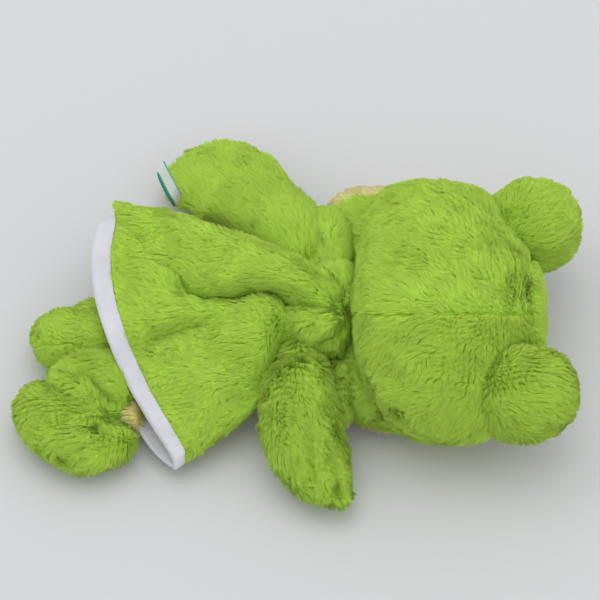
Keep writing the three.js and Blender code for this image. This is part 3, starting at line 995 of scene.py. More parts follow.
@dataclass
class Sleeve:
    """The glove's sleeve: plush on the back and the belly, a white lining and a white hem band.

    Attributes:
        throat: the middle of its narrow end at the neck, seen from above.
        hem: the middle of its wide end.
        half_widths: half its width at even shares of the length from throat to hem.
        half_heights: half its height at the throat and at the hem.
        seam_heights: the side seams' height at the neck, and at the hem on the near and the far side.
        lean: how far its rows lie askew of the length.
        lean_full_at: the share of the length at which they lie so in full.
        bow: how far the hem bows out in the middle.
        near_thinning: how much of its height the near side loses towards the hem.
        ripple: the height of the small unevenness in its back.
        lining_wall: how far the lining's outer side lies from the empty inside.
        cloth_wall: the backing cloth's thickness.
        cloth_from: how far the backing cloth lies from the empty inside.
        plush_end: the share of the length at which the plush ends.
        hem_end: the share at which the hem band ends.
        lining_start: the share at which the lining starts.
        lining_sunk: how deep the lining lies under the folds.
        seam_drop: how far the near side seam lies under the near edge, as an angle.
        corner_roll: how far the hem's far corner rolls back along X, and how far down.
        corner_droop: how far the plush before it runs on along X, and how far down.
        near_run: how far the near edge of the hem runs on.
        belly_run: how far the belly's hem runs on beside it.
        near_bulge: how far the near edge bulges out before the hem.
        hem_calm: how near to the hem the pile starts to lie evenly.
        creases: the folds in its back.
    """

    throat: tuple[float, float] = (22, -7)
    hem: tuple[float, float] = (-73, -16)
    half_widths: tuple[float, ...] = (15, 26, 50, 75)
    half_heights: tuple[float, float] = (10, 14)
    seam_heights: tuple[float, float, float] = (40, 13, 39)
    lean: float = -0.306
    lean_full_at: float = 0.625
    bow: float = 26
    near_thinning: float = 0.5
    ripple: float = 1.1
    lining_wall: float = 1.0
    cloth_wall: float = 0.9
    cloth_from: float = 1.35
    plush_end: float = 0.96
    hem_end: float = 1.035
    lining_start: float = 0.14
    lining_sunk: float = 12.5
    seam_drop: float = 0.3
    corner_roll: tuple[float, float] = (15, 9)
    corner_droop: tuple[float, float] = (5, 3)
    near_run: float = 12
    belly_run: float = 5
    near_bulge: float = 6
    hem_calm: float = 9
    creases: tuple[Crease, ...] = (
        Crease(
            (
                (22, -20),
                (8, -19),
                (-4, -15),
                (-14, -12),
                (-25, -10),
                (-36, -10),
                (-48, -9),
                (-55, -6),
                (-60, 1),
            ),
            (-4, -8, -11, -12, -11, -10, -9, -7, -4),
            2.6,
            2.6,
            -0.45,
        ),
        Crease(((-59, 1), (-64, 12), (-72, 26), (-81, 43)), (-6, -7, -5, -1), 7, 7),
        Crease(
            ((24, -18), (8, -9), (-16, 3), (-38, 12), (-62, 30), (-86, 48)),
            (5, 12, 15, 15, 12, 4),
            10,
            10,
            0.0,
            (0.5, 1.05, 1.25, 2.0, 2.0, 1.0),
            Fold.ROLL,
        ),
        Crease(((-36, 36), (-62, 52), (-90, 60)), (1, 6, 8), 16, 24),
        Crease(
            ((-84, -33), (-74, -27), (-62, -23), (-50, -21), (-37, -18)),
            (-3, -7, -8, -6, -2),
            5,
            4,
            -0.3,
        ),
        Crease(((-19, -17), (-36, -39), (-49, -77)), (4, 5, 3), 10, 9),
        Crease(((-5, -33), (-10, -42), (-20, -56)), (-14, -14, -4), 8, 7),
        Crease(((-7, -15), (-8, -23), (-9, -29)), (-3, -7, -5), 4, 4),
        Crease(((-90, 10), (-80, -4)), (-3, -1), 9, 9),
    )

    def half_width(self, t: Points) -> Points:
        """Half the sleeve's width, running on past the hem.

        Args:
            t: shares of its length.

        Returns:
            One half width a share.
        """
        steps = len(self.half_widths) - 1
        slope = (self.half_widths[-1] - self.half_widths[-2]) * steps
        return np.interp(t, np.linspace(0, 1, steps + 1), self.half_widths) + np.maximum(t - 1, 0) * slope

    def plan(self, t: Points, sideways: Points) -> Points:
        """The place seen from above.

        Args:
            t: shares of its length.
            sideways: distances from its middle line.

        Returns:
            x and y, on one more axis than t.
        """
        across = sideways / self.half_width(t)
        lean = self.lean * ease(t / self.lean_full_at)
        bow = self.bow * t * t * np.maximum(0, 1 - across * across)
        x = self.throat[0] + (self.hem[0] - self.throat[0]) * t + lean * sideways - bow
        y = self.throat[1] + (self.hem[1] - self.throat[1]) * t + np.sqrt(1 - lean * lean) * sideways
        return np.stack([x, y], axis=-1)

    def section(self, t: Points, turn: Points) -> tuple[Points, Points]:
        """The plain section without creases.

        Args:
            t: shares of its length.
            turn: angles from the far side seam over the top.

        Returns:
            The distance sideways from the middle line, and the height.
        """
        across, lift = np.cos(turn), np.sin(turn)
        neck, near, far = self.seam_heights
        seam = neck + (near + (far - near) * (across + 1) / 2 - neck) * ease(t)
        tall = self.half_heights[0] + (self.half_heights[1] - self.half_heights[0]) * t
        tall = tall * (1 - self.near_thinning * ease(-across * 1.3) * ease((t - 0.5) * 2))
        return across * self.half_width(t), seam + lift * tall

    def spots(self, t: Points, turn: Points, outward: float | Points, follow: float | Points = 1.0) -> Points:
        """Points of the sleeve.

        Args:
            t: shares of its length from throat to hem.
            turn: angles from the far side seam over the top.
            outward: the distance out from the empty inside.
            follow: how much this layer follows the folds.

        Returns:
            Points, with one more axis than t.
        """
        step = 0.02
        ahead, behind = self.section(t, turn + step), self.section(t, turn - step)
        run = np.stack([ahead[0] - behind[0], ahead[1] - behind[1]], axis=-1)
        run = run / np.linalg.norm(run, axis=-1, keepdims=True)
        sideways, z = self.section(t, turn)
        rows = self.plan(t, sideways).reshape(-1, 2)
        rows = np.column_stack([rows, np.zeros(len(rows))])
        place = self.plan(t, sideways + run[..., 1] * outward)
        spots = np.concatenate([place, (z - run[..., 0] * outward)[..., None]], axis=-1)
        held = ease(np.sin(turn) * 2.2) * ease(t * 4) * follow
        for crease in self.creases:
            lift = crease.rise(rows).reshape(t.shape) * held
            spots[..., 2] += lift
            spots[..., 1] += lift * crease.lean
        stretched = rows * [0.6, 1.6, 0.0]
        spots[..., 2] += smooth_noise(stretched, 13, 91).reshape(t.shape) * self.ripple * held
        return self.curl(spots, t, turn)

    def curl(self, spots: Points, t: Points, turn: Points) -> Points:
        """Rolls the hem's far corner under the plush, and lets its near side run on and bulge.

        Args:
            spots: points of the sleeve, which are moved.
            t: their shares of its length.
            turn: their angles.

        Returns:
            The moved points.
        """
        away = np.minimum(turn % (2 * math.pi), 2 * math.pi - turn % (2 * math.pi))
        corner = 1 - ease((away - 0.35) / 0.45)
        rolled = corner * ease((t - 0.95) / 0.1)
        (roll_back, roll_down), (droop_on, droop_down) = self.corner_roll, self.corner_droop
        spots[..., 0] += roll_back * rolled - droop_on * corner * ease((t - 0.8) / 0.16)
        spots[..., 2] -= roll_down * rolled + droop_down * corner * ease((t - 0.8) / 0.16)
        near = bell(turn, math.pi, 0.3 * math.pi)
        spots[..., 0] -= self.near_run * (near * ease((t - 0.45) * 2))
        longer = bell(turn, 1.2 * math.pi, 0.16 * math.pi) * ease(t * 1.5 - 0.4)
        spots[..., 0] -= self.belly_run * longer
        spots[..., 1] -= self.near_bulge * near * bell(t, 0.72, 0.3)
        return spots

    def near_hem(self, places: Points) -> Points:
        """How close to the hem each place is.

        Args:
            places: rows of x, y, z.

        Returns:
            One value a place, which rises from 0 to 1 at the hem.
        """
        t, turn = self.grid(self.plush_end, self.plush_end + 0.001, 0, 2 * math.pi, (2, 90))
        hem = self.spots(t, turn, self.cloth_from)[0]
        gaps = np.stack([np.linalg.norm(places - spot, axis=1) for spot in hem])
        return 1 - ease(gaps.min(axis=0) / self.hem_calm)

    def grid(
        self, start: float, end: float, low: float, high: float, size: tuple[int, int]
    ) -> tuple[Points, Points]:
        """Shares and angles in even steps.

        Args:
            start: the first share of the length.
            end: the last share.
            low: the first angle.
            high: the last angle.
            size: how many shares and how many angles.

        Returns:
            The shares and the angles as two grids.
        """
        return np.meshgrid(np.linspace(start, end, size[0]), np.linspace(low, high, size[1]), indexing="ij")

    def panel(self, name: str, finish: PlushFinish, low: float, high: float, seed: int) -> None:
        """A plush panel: its backing cloth, with its pile.

        Args:
            name: the panel's node.
            finish: its plush.
            low: the angle at which it starts.
            high: the angle at which it ends.
            seed: for the pile's random numbers.
        """
        t, turn = self.grid(0.0, self.plush_end, low, high, (90, 150))
        outer = self.spots(t, turn, self.cloth_from + self.cloth_wall)
        wall = shell(outer, self.spots(t, turn, self.cloth_from), wrap=False).settle()
        cloth = mesh_object(f"{name}_cloth", wall.points, wall.triangles, finish.backing())
        top = Skin(outer.reshape(-1, 3), grid_faces(*t.shape, wrap=False), closed=False).settle()
        looks_up, is_back = top.normals()[:, 2].mean() >= 0, low < math.pi
        if looks_up != is_back:
            top.triangles = top.triangles[:, ::-1]
        long = Pile(length=5.4, lean=1.08)
        pile = grow_pile(f"{name}_pile", top, finish, away_from(60, -8, 40), seed, long, calm=self.near_hem)
        for piece in (cloth, pile):
            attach(piece, "sleeve")
        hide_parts(name)
        width = float(np.linalg.norm(np.diff(outer, axis=1), axis=2).sum(axis=1).max())
        length = float(np.linalg.norm(np.diff(outer, axis=0), axis=2).sum(axis=0).max())
        area = min(wall.cloth_area(), width * length)

    def tube(self, name: str, node: str, wall: Skin) -> None:
        """A piece of the lining's cloth that goes right round.

        Args:
            name: the piece's name.
            node: the node that it stands for.
            wall: its closed wall.
        """
        piece = cloth_piece(name, wall, LINING.material(), "sleeve", node)

    def lining(self) -> None:
        """The white cloth tube inside, and the band that turns over the hem."""
        t, turn = self.grid(self.lining_start, self.hem_end, 0, 2 * math.pi, (64, 129))
        t, turn = t[:, :-1], turn[:, :-1]
        follow = ease((t - 0.78) / 0.14)
        sunk = self.lining_sunk * ease(np.sin(turn) * 1.8) * (1 - follow)
        outer = self.spots(t, turn, self.lining_wall - sunk, follow)
        wall = shell(outer, self.spots(t, turn, 0.1 - sunk, follow), wrap=True).settle()
        self.tube("lining_tube", "sleeve_lining", wall)
        t, turn = self.grid(self.plush_end + 0.006, self.hem_end, 0, 2 * math.pi, (14, 161))
        t, turn = t[:, :-1], turn[:, :-1]
        share = (t - self.plush_end) / (self.hem_end - self.plush_end)
        rows = np.stack([t.ravel() * 9, turn.ravel() * 9, np.zeros(t.size)], axis=1)
        pucker = smooth_noise(rows, 1, 8)
        puff = 1.45 + (1.9 + 0.5 * pucker.reshape(t.shape)) * np.sqrt(np.maximum(0, 1 - share**6))
        wall = shell(self.spots(t, turn, puff), self.spots(t, turn, 1.3), wrap=True).settle()
        self.tube("hem_band_cloth", "hem_band", wall)

    def build(self) -> None:
        """Makes the whole sleeve."""
        seam = 0.012
        near_seam = math.pi + self.seam_drop
        self.panel("back_panel", GREEN, seam, near_seam - seam, 41)
        self.panel("belly_panel", YELLOW, near_seam + seam, 2 * math.pi - seam, 42)
        self.lining()


@dataclass
class Shoulders:
    """The sleeve's gathered top: plush that swells up round the neck seam and runs on into the arms.

    Attributes:
        form: its shape.
        knot: x and y of the point at the neck seam from which the folds run out.
        gathers: how many folds go round the knot.
        gather_height: how high they are.
        inset: how far its backing lies inside its shape.
        belly_height: the height of the side seams, below which its plush is the belly's.
        grooves: the deeper folds in it.
    """

    form: JoinedPebbles = JoinedPebbles(
        (
            Pebble((9, 23, 33), (21, 35, 15), 2.8),
            Pebble((12, -26, 39), (17, 17, 18), 2.4),
            Pebble((13, -8, 39), (22, 26, 19), 2.6),
            Pebble((19, -46, 20), (14, 26, 17), 2.4),
            Pebble((-5, -33, 22), (16, 18, 15), 2.4),
        ),
        (10, -14, 30),
        18,
        90,
    )
    knot: tuple[float, float] = (24, -18)
    gathers: int = 13
    gather_height: float = 0.8
    inset: float = 3.6
    belly_height: float = 15
    grooves: tuple[Crease, ...] = (
        Crease(((28, -26), (18, -38), (6, -44), (-6, -40)), (-4, -8, -9, -9), 3.2, 3.2),
        Crease(((-12, -13), (-4, -15), (8, -19), (20, -20)), (-10, -9, -6, -3), 2.8, 2.8),
        Crease(((28, -16), (16, 2), (2, 16)), (-4, -4, -2), 4, 5),
        Crease(((22, 12), (13, 26), (2, 36)), (-2, -3, -1), 4, 4),
        Crease(((27, -18), (22, -19)), (-7, -7), 3.5, 3.5),
    )

    def gathered(self, skin: Skin) -> Skin:
        """Raises small folds that run out from the knot at the neck seam.

        Args:
            skin: the shoulders' skin.

        Returns:
            The same skin.
        """
        x, y = skin.points[:, 0] - self.knot[0], skin.points[:, 1] - self.knot[1]
        angle = np.arctan2(y, x) + smooth_noise(skin.points, 18, 71) * 0.25
        fades = bell(np.hypot(x, y), 14, 16)
        return skin.move(np.sin(angle * self.gathers) * fades * self.gather_height)

    def build(self) -> None:
        """Makes the shoulders' skin and piles."""
        skin = self.form.skin(self.inset, 120, 80).lumps(17, 1.0, 61)
        skin = self.gathered(skin).creased(self.grooves)
        body = stuffed("shoulder_gathers", skin, GREEN, 0.3)
        nap = away_from(*self.knot, 44)
        green = grow_pile("shoulder_gathers_pile", skin, GREEN, nap, 43, Pile(lean=1.0), self.above_belly)
        yellow = grow_pile("shoulder_belly_pile", skin, YELLOW, nap, 44, keep=self.below_belly)
        for piece in (body, green, yellow):
            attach(piece, "sleeve")

    def above_belly(self, places: Points) -> Points:
        """Which places are on the back's side of the side seams."""
        return places[:, 2] > self.belly_height

    def below_belly(self, places: Points) -> Points:
        """Which places are on the belly's side of them."""
        return ~self.above_belly(places)


@dataclass
class Head:
    """The stuffed head: green back in two halves, green face, yellow chin.

    Attributes:
        form: its shape.
        hollow: the space in it that the gathered neck takes up.
        middle: y and z of the middle of its back.
        inset: how far its backing lies inside its shape.
        face_seam: the height of the seam round it, under the middle.
        face_tilt: how far that seam rises to the far side, in radians.
        back_tilt: how far the seam down its back is turned, in radians.
        mouth_x: where the face panel's lower half ends.
        forehead_x: where its upper half ends.
        crown: the height above which the forehead's seam and the domes' seats lie.
        dome_seats: x and y of the dents in which the domes sit.
        seat_widths: how wide these are along X and along Y.
        seat_depth: how deep they are.
        seam_width: how wide a seam's dent is.
        back_dent: how deep the back's seam is drawn in.
        brow_dent: how deep the forehead's seam is drawn in.
    """

    form: JoinedPebbles = JoinedPebbles(
        (
            Pebble((78, -17, 44.5), (53, 77, 45), 2.4),
            Pebble((58, 1, 19), (43, 75, 19.5), 4.0),
            Pebble((40, 45, 23), (30, 31, 19), 2.8),
            Pebble((66, 29, 42), (34, 33, 28), 2.6),
        ),
        (62, 6, 26),
        15,
    )
    hollow: Pebble = Pebble((2, -7, 40), (26, 36, 27), 2.2)
    middle: tuple[float, float] = (-17, 44.5)
    inset: float = 4.2
    face_seam: float = 22
    face_tilt: float = 0.19
    back_tilt: float = 0.64
    mouth_x: float = 88
    forehead_x: float = 120
    dome_seats: tuple[tuple[float, float], ...] = ((124, 34), (118, -74))
    crown: float = 40
    seat_widths: tuple[float, float] = (26, 27)
    seat_depth: float = 11
    seam_width: float = 2.5
    back_dent: float = 0.4
    brow_dent: float = 1.2

    def above_face_seam(self, places: Points) -> Points:
        """Which places are on the back's side of the seam round the head."""
        return places[:, 2] > self.face_seam + math.tan(self.face_tilt) * (places[:, 1] - self.middle[0])

    def left_of_back_seam(self, places: Points) -> Points:
        """How far each place is to the left of the seam down the back, in mm."""
        y, z = places[:, 1] - self.middle[0], places[:, 2] - self.middle[1]
        return y * math.cos(self.back_tilt) + z * math.sin(self.back_tilt)

    def on_back(self, places: Points) -> Points:
        """Which places belong to the back's two halves."""
        return self.above_face_seam(places) & (places[:, 0] < self.forehead_x)

    def on_face(self, places: Points) -> Points:
        """Which places belong to the face panel."""
        low = ~self.above_face_seam(places) & (places[:, 0] > self.mouth_x)
        return low | (places[:, 0] >= self.forehead_x)

    def dented(self, skin: Skin) -> Skin:
        """Draws the skin in along its seams, under the domes and round the neck.

        Args:
            skin: the head's skin.

        Returns:
            The same skin.
        """
        places = skin.points
        on_seam = bell(self.left_of_back_seam(places), 0, self.seam_width)
        seam = on_seam * self.above_face_seam(places) * -self.back_dent
        on_brow = bell(places[:, 0], self.forehead_x - 2, self.seam_width)
        brow = on_brow * (places[:, 2] > self.crown) * -self.brow_dent
        high = ease((places[:, 2] - self.crown) / 20)
        long, wide = self.seat_widths
        seats = sum(bell(places[:, 0], x, long) * bell(places[:, 1], y, wide) for x, y in self.dome_seats)
        skin.move(seam + brow - self.seat_depth * seats * high)
        centre, half = np.array(self.hollow.centre), np.array(self.hollow.half) + self.inset
        away = (skin.points - centre) / half
        size = rounded_length(away, self.hollow.power)
        pushed = centre + away / np.maximum(size, 1e-6) * half
        skin.points = np.where(size < 1, pushed, skin.points)
        return skin.settle()

    def build(self) -> None:
        """Makes the head's skin and its piles."""
        skin = self.dented(self.form.skin(self.inset, 128, 80).lumps(26, 1.3, 11))
        body = stuffed("head_stuffing", skin, GREEN, 0.75)
        plain, smooth = Pile(), Pile(length=4.6, parting=0.2, ruffle=0.35)

        def on_left(places: Points) -> Points:
            """Which places belong to the back's left half."""
            return self.on_back(places) & (self.left_of_back_seam(places) > 0.15)

        def on_right(places: Points) -> Points:
            """Which places belong to the back's right half."""
            return self.on_back(places) & (self.left_of_back_seam(places) < -0.15)

        def on_chin(places: Points) -> Points:
            """Which places belong to the chin panel."""
            return ~self.on_back(places) & ~self.on_face(places)

        left, right, front = toward(-1, 0.25, -0.1), toward(-0.75, -0.7, -0.1), toward(0.2, 0.1, -1)
        pieces = {
            "head_filling": body,
            "head_back_left": grow_pile("head_back_left_pile", skin, GREEN, left, 21, plain, on_left),
            "head_back_right": grow_pile("head_back_right_pile", skin, GREEN, right, 22, plain, on_right),
            "face_panel": grow_pile("face_pile", skin, GREEN, front, 23, smooth, self.on_face),
            "chin_panel": grow_pile("chin_pile", skin, YELLOW, toward(-1, 0.2), 24, smooth, on_chin),
        }
        for node, piece in pieces.items():
            in_frame((20, -7, 40))
            in_frame((46, -7, 40))
            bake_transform(piece)
            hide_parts(node)


@dataclass
class EyeDome:
    """A dome on top of the head, with the eye on its underside, where the face is.

    Attributes:
        side: the puppet's side on which it is.
        form: its shape.
        inset: how far its backing lies inside its shape.
    """

    side: Side
    form: Pebble
    inset: float = 3.8

    def build(self) -> None:
        """Makes the dome's skin and pile."""
        name = f"eye_dome_{self.side.value}"
        seed = 27 if self.side is Side.LEFT else 28
        skin = self.form.skin(self.inset, 56, 36).lumps(14, 1.0, seed)
        body = stuffed(f"{name}_stuffing", skin, GREEN, 0.75)
        out = -0.5 if self.side is Side.RIGHT else 0.5
        pile = grow_pile(f"{name}_pile", skin, GREEN, toward(0.8, out, 0.1), seed + 50)
        for piece in (body, pile):
            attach(piece, "head")
        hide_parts(f"eye_dome_filling_{self.side.value}")
        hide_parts(name)


@dataclass
class StuffedLimb:
    """An arm, thigh or foot: two plush skins round a light filling.

    Attributes:
        body: the start of its pieces' and its nodes' names.
        carrier: the body that it is sewn to; not used.
        form: its shape.
        skins: the ends of its two skin nodes' names.
        nap: the heading in which its pile lies.
        seed: for its random numbers.
        bend: two drawing points at its joint; not used.
        creases: the folds in its upper side.
        fill: how full it is; passed on but not used.
        inset: how far its backing lies inside its shape.
    """

    body: str
    carrier: str
    form: Limb
    skins: tuple[str, str]
    nap: Heading
    seed: int
    bend: tuple[tuple[float, float, float], tuple[float, float, float]]
    creases: tuple[Crease, ...] = ()
    fill: float = 0.5
    inset: float = 3.6

    def build(self) -> None:
        """Makes the limb's skin and pile."""
        skin = self.form.skin(self.inset, 80, 60).lumps(16, 1.1, self.seed).creased(self.creases)
        body = stuffed(f"{self.body}_stuffing", skin, GREEN, self.fill)
        pile = grow_pile(f"{self.body}_pile", skin, GREEN, self.nap, self.seed + 50)
        for piece in (body, pile):
            self.carrier
            self.body
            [in_frame(p) for p in self.bend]
            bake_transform(piece)
        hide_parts(f"{self.body}_filling")
        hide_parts(*(f"{self.body}_{end}" for end in self.skins))


DOMES = {
    Side.LEFT: Pebble((122.5, 34, 49), (27.5, 26, 27), 2.1),
    Side.RIGHT: Pebble((115.5, -71.5, 48.5), (28.5, 26.5, 27.5), 2.1),
}
LEG_FOLDS = (
    Crease(((-124, -38), (-113, -45), (-104, -54), (-97, -61), (-88, -70)), (-2, -6, -8, -8, -6), 5, 5),
    Crease(((-90, -71), (-103, -74), (-120, -75)), (-5, -4, -1), 4, 4),
)
LIMBS = (
    StuffedLimb(
        "arm_left",
        "sleeve",
        Limb(
            ((2, 12, 40), (-4, 38, 37), (-16, 60, 26), (-38, 85, 17), (-73, 92, 12)),
            (18, 20, 23, 31, 25),
            (15, 15, 13.5, 12.5, 11.5),
            3.0,
        ),
        ("upper_skin", "under_skin"),
        toward(-0.8, 0.6),
        31,
        ((0, 14, 40), (-8, 44, 34)),
    ),
    StuffedLimb(
        "arm_right",
        "sleeve",
        Limb(
            ((4, -26, 38), (0, -52, 37), (1, -80, 26), (10, -98, 18), (25, -118, 12)),
            (14, 20, 24, 23, 15),
            (13, 18, 18, 16, 11.5),
            2.4,
        ),
        ("upper_skin", "under_skin"),
        toward(0.25, -1),
        32,
        ((2, -26, 40), (0, -54, 36)),
        (
            Crease(((-14, -46), (4, -44), (22, -40)), (-5, -7, -5), 4, 6),
            Crease(((3, -84), (6, -97), (7, -111)), (-2, -4, -2), 3, 3),
            Crease(((15, -92), (20, -104), (24, -122)), (-1, -4, -4), 3, 3),
        ),
    ),
    StuffedLimb(
        "thigh_left",
        "sleeve",
        Limb(((-90, -10, 17), (-100, -12, 18), (-124, -14, 17)), (19, 21, 19), (16, 18, 17), 2.6),
        ("upper_skin", "under_skin"),
        toward(-1, -0.1),
        33,
        ((-92, -12, 17), (-106, -13, 17)),
    ),
    StuffedLimb(
        "foot_left",
        "thigh_left",
        Limb(((-104, -14, 17), (-124, -17, 16), (-140, -22, 14)), (19, 20, 17), (16, 17, 14), 2.6),
        ("upper_skin", "sole"),
        toward(-1, -0.1),
        34,
        ((-108, -14, 17), (-122, -15, 17)),
    ),
    StuffedLimb(
        "thigh_right",
        "sleeve",
        Limb(((-82, -52, 17), (-102, -47, 18), (-132, -43, 17)), (21, 24, 18), (15, 18, 16), 2.8),
        ("upper_skin", "under_skin"),
        toward(-1, 0.1),
        35,
        ((-82, -55, 17), (-98, -52, 17)),
        LEG_FOLDS,
    ),
    StuffedLimb(
        "foot_right",
        "thigh_right",
        Limb(
            ((-132, -42, 15), (-130, -62, 16), (-113, -74, 16), (-84, -81, 14)),
            (18, 22, 25, 16),
            (14, 16, 16, 14),
            2.6,
        ),
        ("upper_skin", "sole"),
        toward(-0.6, -0.6),
        36,
        ((-106, -54, 17), (-114, -64, 17)),
        LEG_FOLDS,
    ),
)


@dataclass
class FingerPocket:
    """A thin cloth cup for a finger, open towards the neck and rounded at its far end.

    Attributes:
        node: the drawing's node that it stands for, which gives its place and size.
        body: the body that it rides on.
        axis: 0 if it runs along X and 1 if it runs along Y.
        way: 1 or -1, the way it runs.
        deeper: how much deeper its mouth lies than the drawing's, in mm.
        lower: how much lower it lies, in mm.
        wall: the cloth's thickness in mm, drawn thicker than the real one.
    """

    node: str
    body: str
    axis: int
    way: int
    deeper: float = 0
    lower: float = 0
    wall: float = 0.8

    def build(self) -> None:
        """Makes the cup."""
        low, high = node_box(self.node)
        middle, half = (low + high) / 2, (high - low) / 2
        middle[self.axis] += self.way * self.deeper / 2
        middle[2] -= self.lower
        half[self.axis] -= self.deeper / 2
        around = np.linspace(0, 2 * math.pi, 49)[:-1]
        share, turn = np.meshgrid(np.linspace(0, 1, 30), around, indexing="ij")

        def side(inset: float) -> Points:
            """One side of the cup's wall.

            Args:
                inset: how far it lies inside the outer side, in mm.

            Returns:
                A grid of points.
            """
            round_end = np.sqrt(np.maximum(0.0004, 1 - np.maximum(0, (share - 0.7) / 0.3) ** 2))
            wide, tall = half[1 - self.axis] - inset, half[2] - inset
            spots = np.empty((*share.shape, 3))
            run = (share * 2 - 1) * (half[self.axis] - inset * 0.5)
            spots[..., self.axis] = middle[self.axis] + self.way * run
            spots[..., 1 - self.axis] = middle[1 - self.axis] + np.cos(turn) * wide * round_end
            spots[..., 2] = middle[2] + np.sin(turn) * tall * round_end
            return spots

        cup = shell(side(0), side(self.wall), wrap=True)
        piece = cloth_piece(f"{self.node}_cloth", cup, LINING.material(), self.body, self.node)
        girth = 2 * math.pi * math.hypot(half[1 - self.axis], half[2]) / math.sqrt(2)
        flat = (girth, 2 * half[self.axis] + half[2])
        area = min(cup.cloth_area(), flat[0] * flat[1])


@dataclass
class NeckBand:
    """The ring of tape sewn inside the neck seam, a few mm down in the gathered plush.

    Attributes:
        radius: its outer radius in mm.
        width: the tape's width in mm.
        wall: the tape's thickness in mm.
        inside: how far it lies down the sleeve from the drawing's ring, in mm.
    """

    radius: float = 10
    width: float = 10
    wall: float = 0.9
    inside: float = 9

    def build(self) -> None:
        """Makes the ring."""
        around = np.linspace(0, 2 * math.pi, 73)[:-1]
        along, turn = np.meshgrid(np.linspace(-0.5, 0.5, 5), around, indexing="ij")

        def side(radius: float) -> Points:
            """One side of the tape, as a grid of points."""
            rows = [along * self.width, np.cos(turn) * radius, np.sin(turn) * radius]
            return np.stack(rows, axis=-1) + np.array(NECK_CENTRE) - [self.inside, 0, 0]

        ring = shell(side(self.radius), side(self.radius - self.wall), wrap=True)
        piece = cloth_piece("neck_band_tape", ring, LINING.material(), "sleeve", "neck_band")


@dataclass
class Label:
    """A blank woven ribbon, folded into a loop and sewn into the far side seam.

    Attributes:
        foot: where it leaves the seam.
        tip: where it is folded.
        width: the ribbon's width in mm.
        turn: how far its face is turned away from the viewer, in radians.
        gap: how far its two sides stand apart, in mm.
        wall: the ribbon's thickness in mm, drawn thicker than the real one.
    """

    foot: tuple[float, float, float] = (-65, 59, 38)
    tip: tuple[float, float, float] = (-73, 65, 60)
    width: float = 10
    turn: float = 1.22
    gap: float = 1.6
    wall: float = 0.35

    def build(self) -> None:
        """Makes the loop, its two selvedges in the edge colour."""
        foot, tip = np.array(self.foot, float), np.array(self.tip, float)
        length = float(np.linalg.norm(tip - foot))
        run = (tip - foot) / length
        level = np.array([1, 0, 0]) - run * run[0]
        level = level / np.linalg.norm(level)
        across = level * math.cos(self.turn) + np.cross(run, level) * math.sin(self.turn)
        face = np.cross(run, across)
        bend, wide = np.meshgrid(np.linspace(0, math.pi, 49), np.linspace(-0.5, 0.5, 9), indexing="ij")

        def side(inset: float) -> Points:
            """One side of the ribbon.

            Args:
                inset: how far it lies inside the outer side, in mm.

            Returns:
                A grid of points.
            """
            up = (length - inset) * np.sin(bend) ** 0.4
            bowed = np.sin(up / length * 2.2) * 1.2
            out = np.cos(bend) * (self.gap / 2 - inset) + bowed
            spine = foot + up[..., None] * run + out[..., None] * face
            return spine + (wide * self.width)[..., None] * across

        loop = shell(side(0), side(self.wall), wrap=False)
        piece = cloth_piece("label_ribbon", loop, LABEL.material(), "tag", "label_tag")
        piece.data.materials.append(LABEL_EDGE.material())
        column = loop.triangles % wide.shape[1]
        edge = (column.max(axis=1) <= 1) | (column.min(axis=1) >= wide.shape[1] - 2)
        piece.data.polygons.foreach_set("material_index", edge.astype(np.int32))


def spun(
    name: str, profile: list[tuple[float, float]], centre: Points, material: bpy.types.Material
) -> bpy.types.Object:
    """A turned piece.

    Args:
        name: the piece's name.
        profile: its outline as radius and height in drawing mm, closed if its ends meet.
        centre: the x and y of its upright axis.
        material: its finish.

    Returns:
        The new object.
    """
    offset = drawing_offset()
    axis = np.array([centre[0] + offset[0], centre[1] + offset[1], 0]) * MM
    steps = [np.array([radius, 0, height + offset[2]]) * MM for radius, height in profile]
    outline = [(axis + step).tolist() for step in steps]
    mesh = bpy.data.meshes.new(name)
    mesh.from_pydata(outline, [(i, i + 1) for i in range(len(outline) - 1)], [])
    piece = bpy.data.objects.new(name, mesh)
    bpy.context.scene.collection.objects.link(piece)
    bpy.ops.object.select_all(action="DESELECT")
    bpy.context.view_layer.objects.active = piece
    piece.select_set(True)
    bpy.ops.object.mode_set(mode="EDIT")
    bpy.ops.mesh.select_all(action="SELECT")
    bpy.ops.mesh.spin(steps=48, angle=2 * math.pi, center=axis.tolist(), axis=(0, 0, 1))
    bpy.ops.mesh.select_all(action="SELECT")
    bpy.ops.mesh.remove_doubles(threshold=0.02 * MM)
    bpy.ops.mesh.normals_make_consistent(inside=False)
    bpy.ops.object.mode_set(mode="OBJECT")
    bpy.ops.object.shade_smooth_by_angle(angle=math.radians(40))
    mesh.materials.append(material)
    LOG.info("%s: %d faces", name, len(mesh.polygons))
    return piece


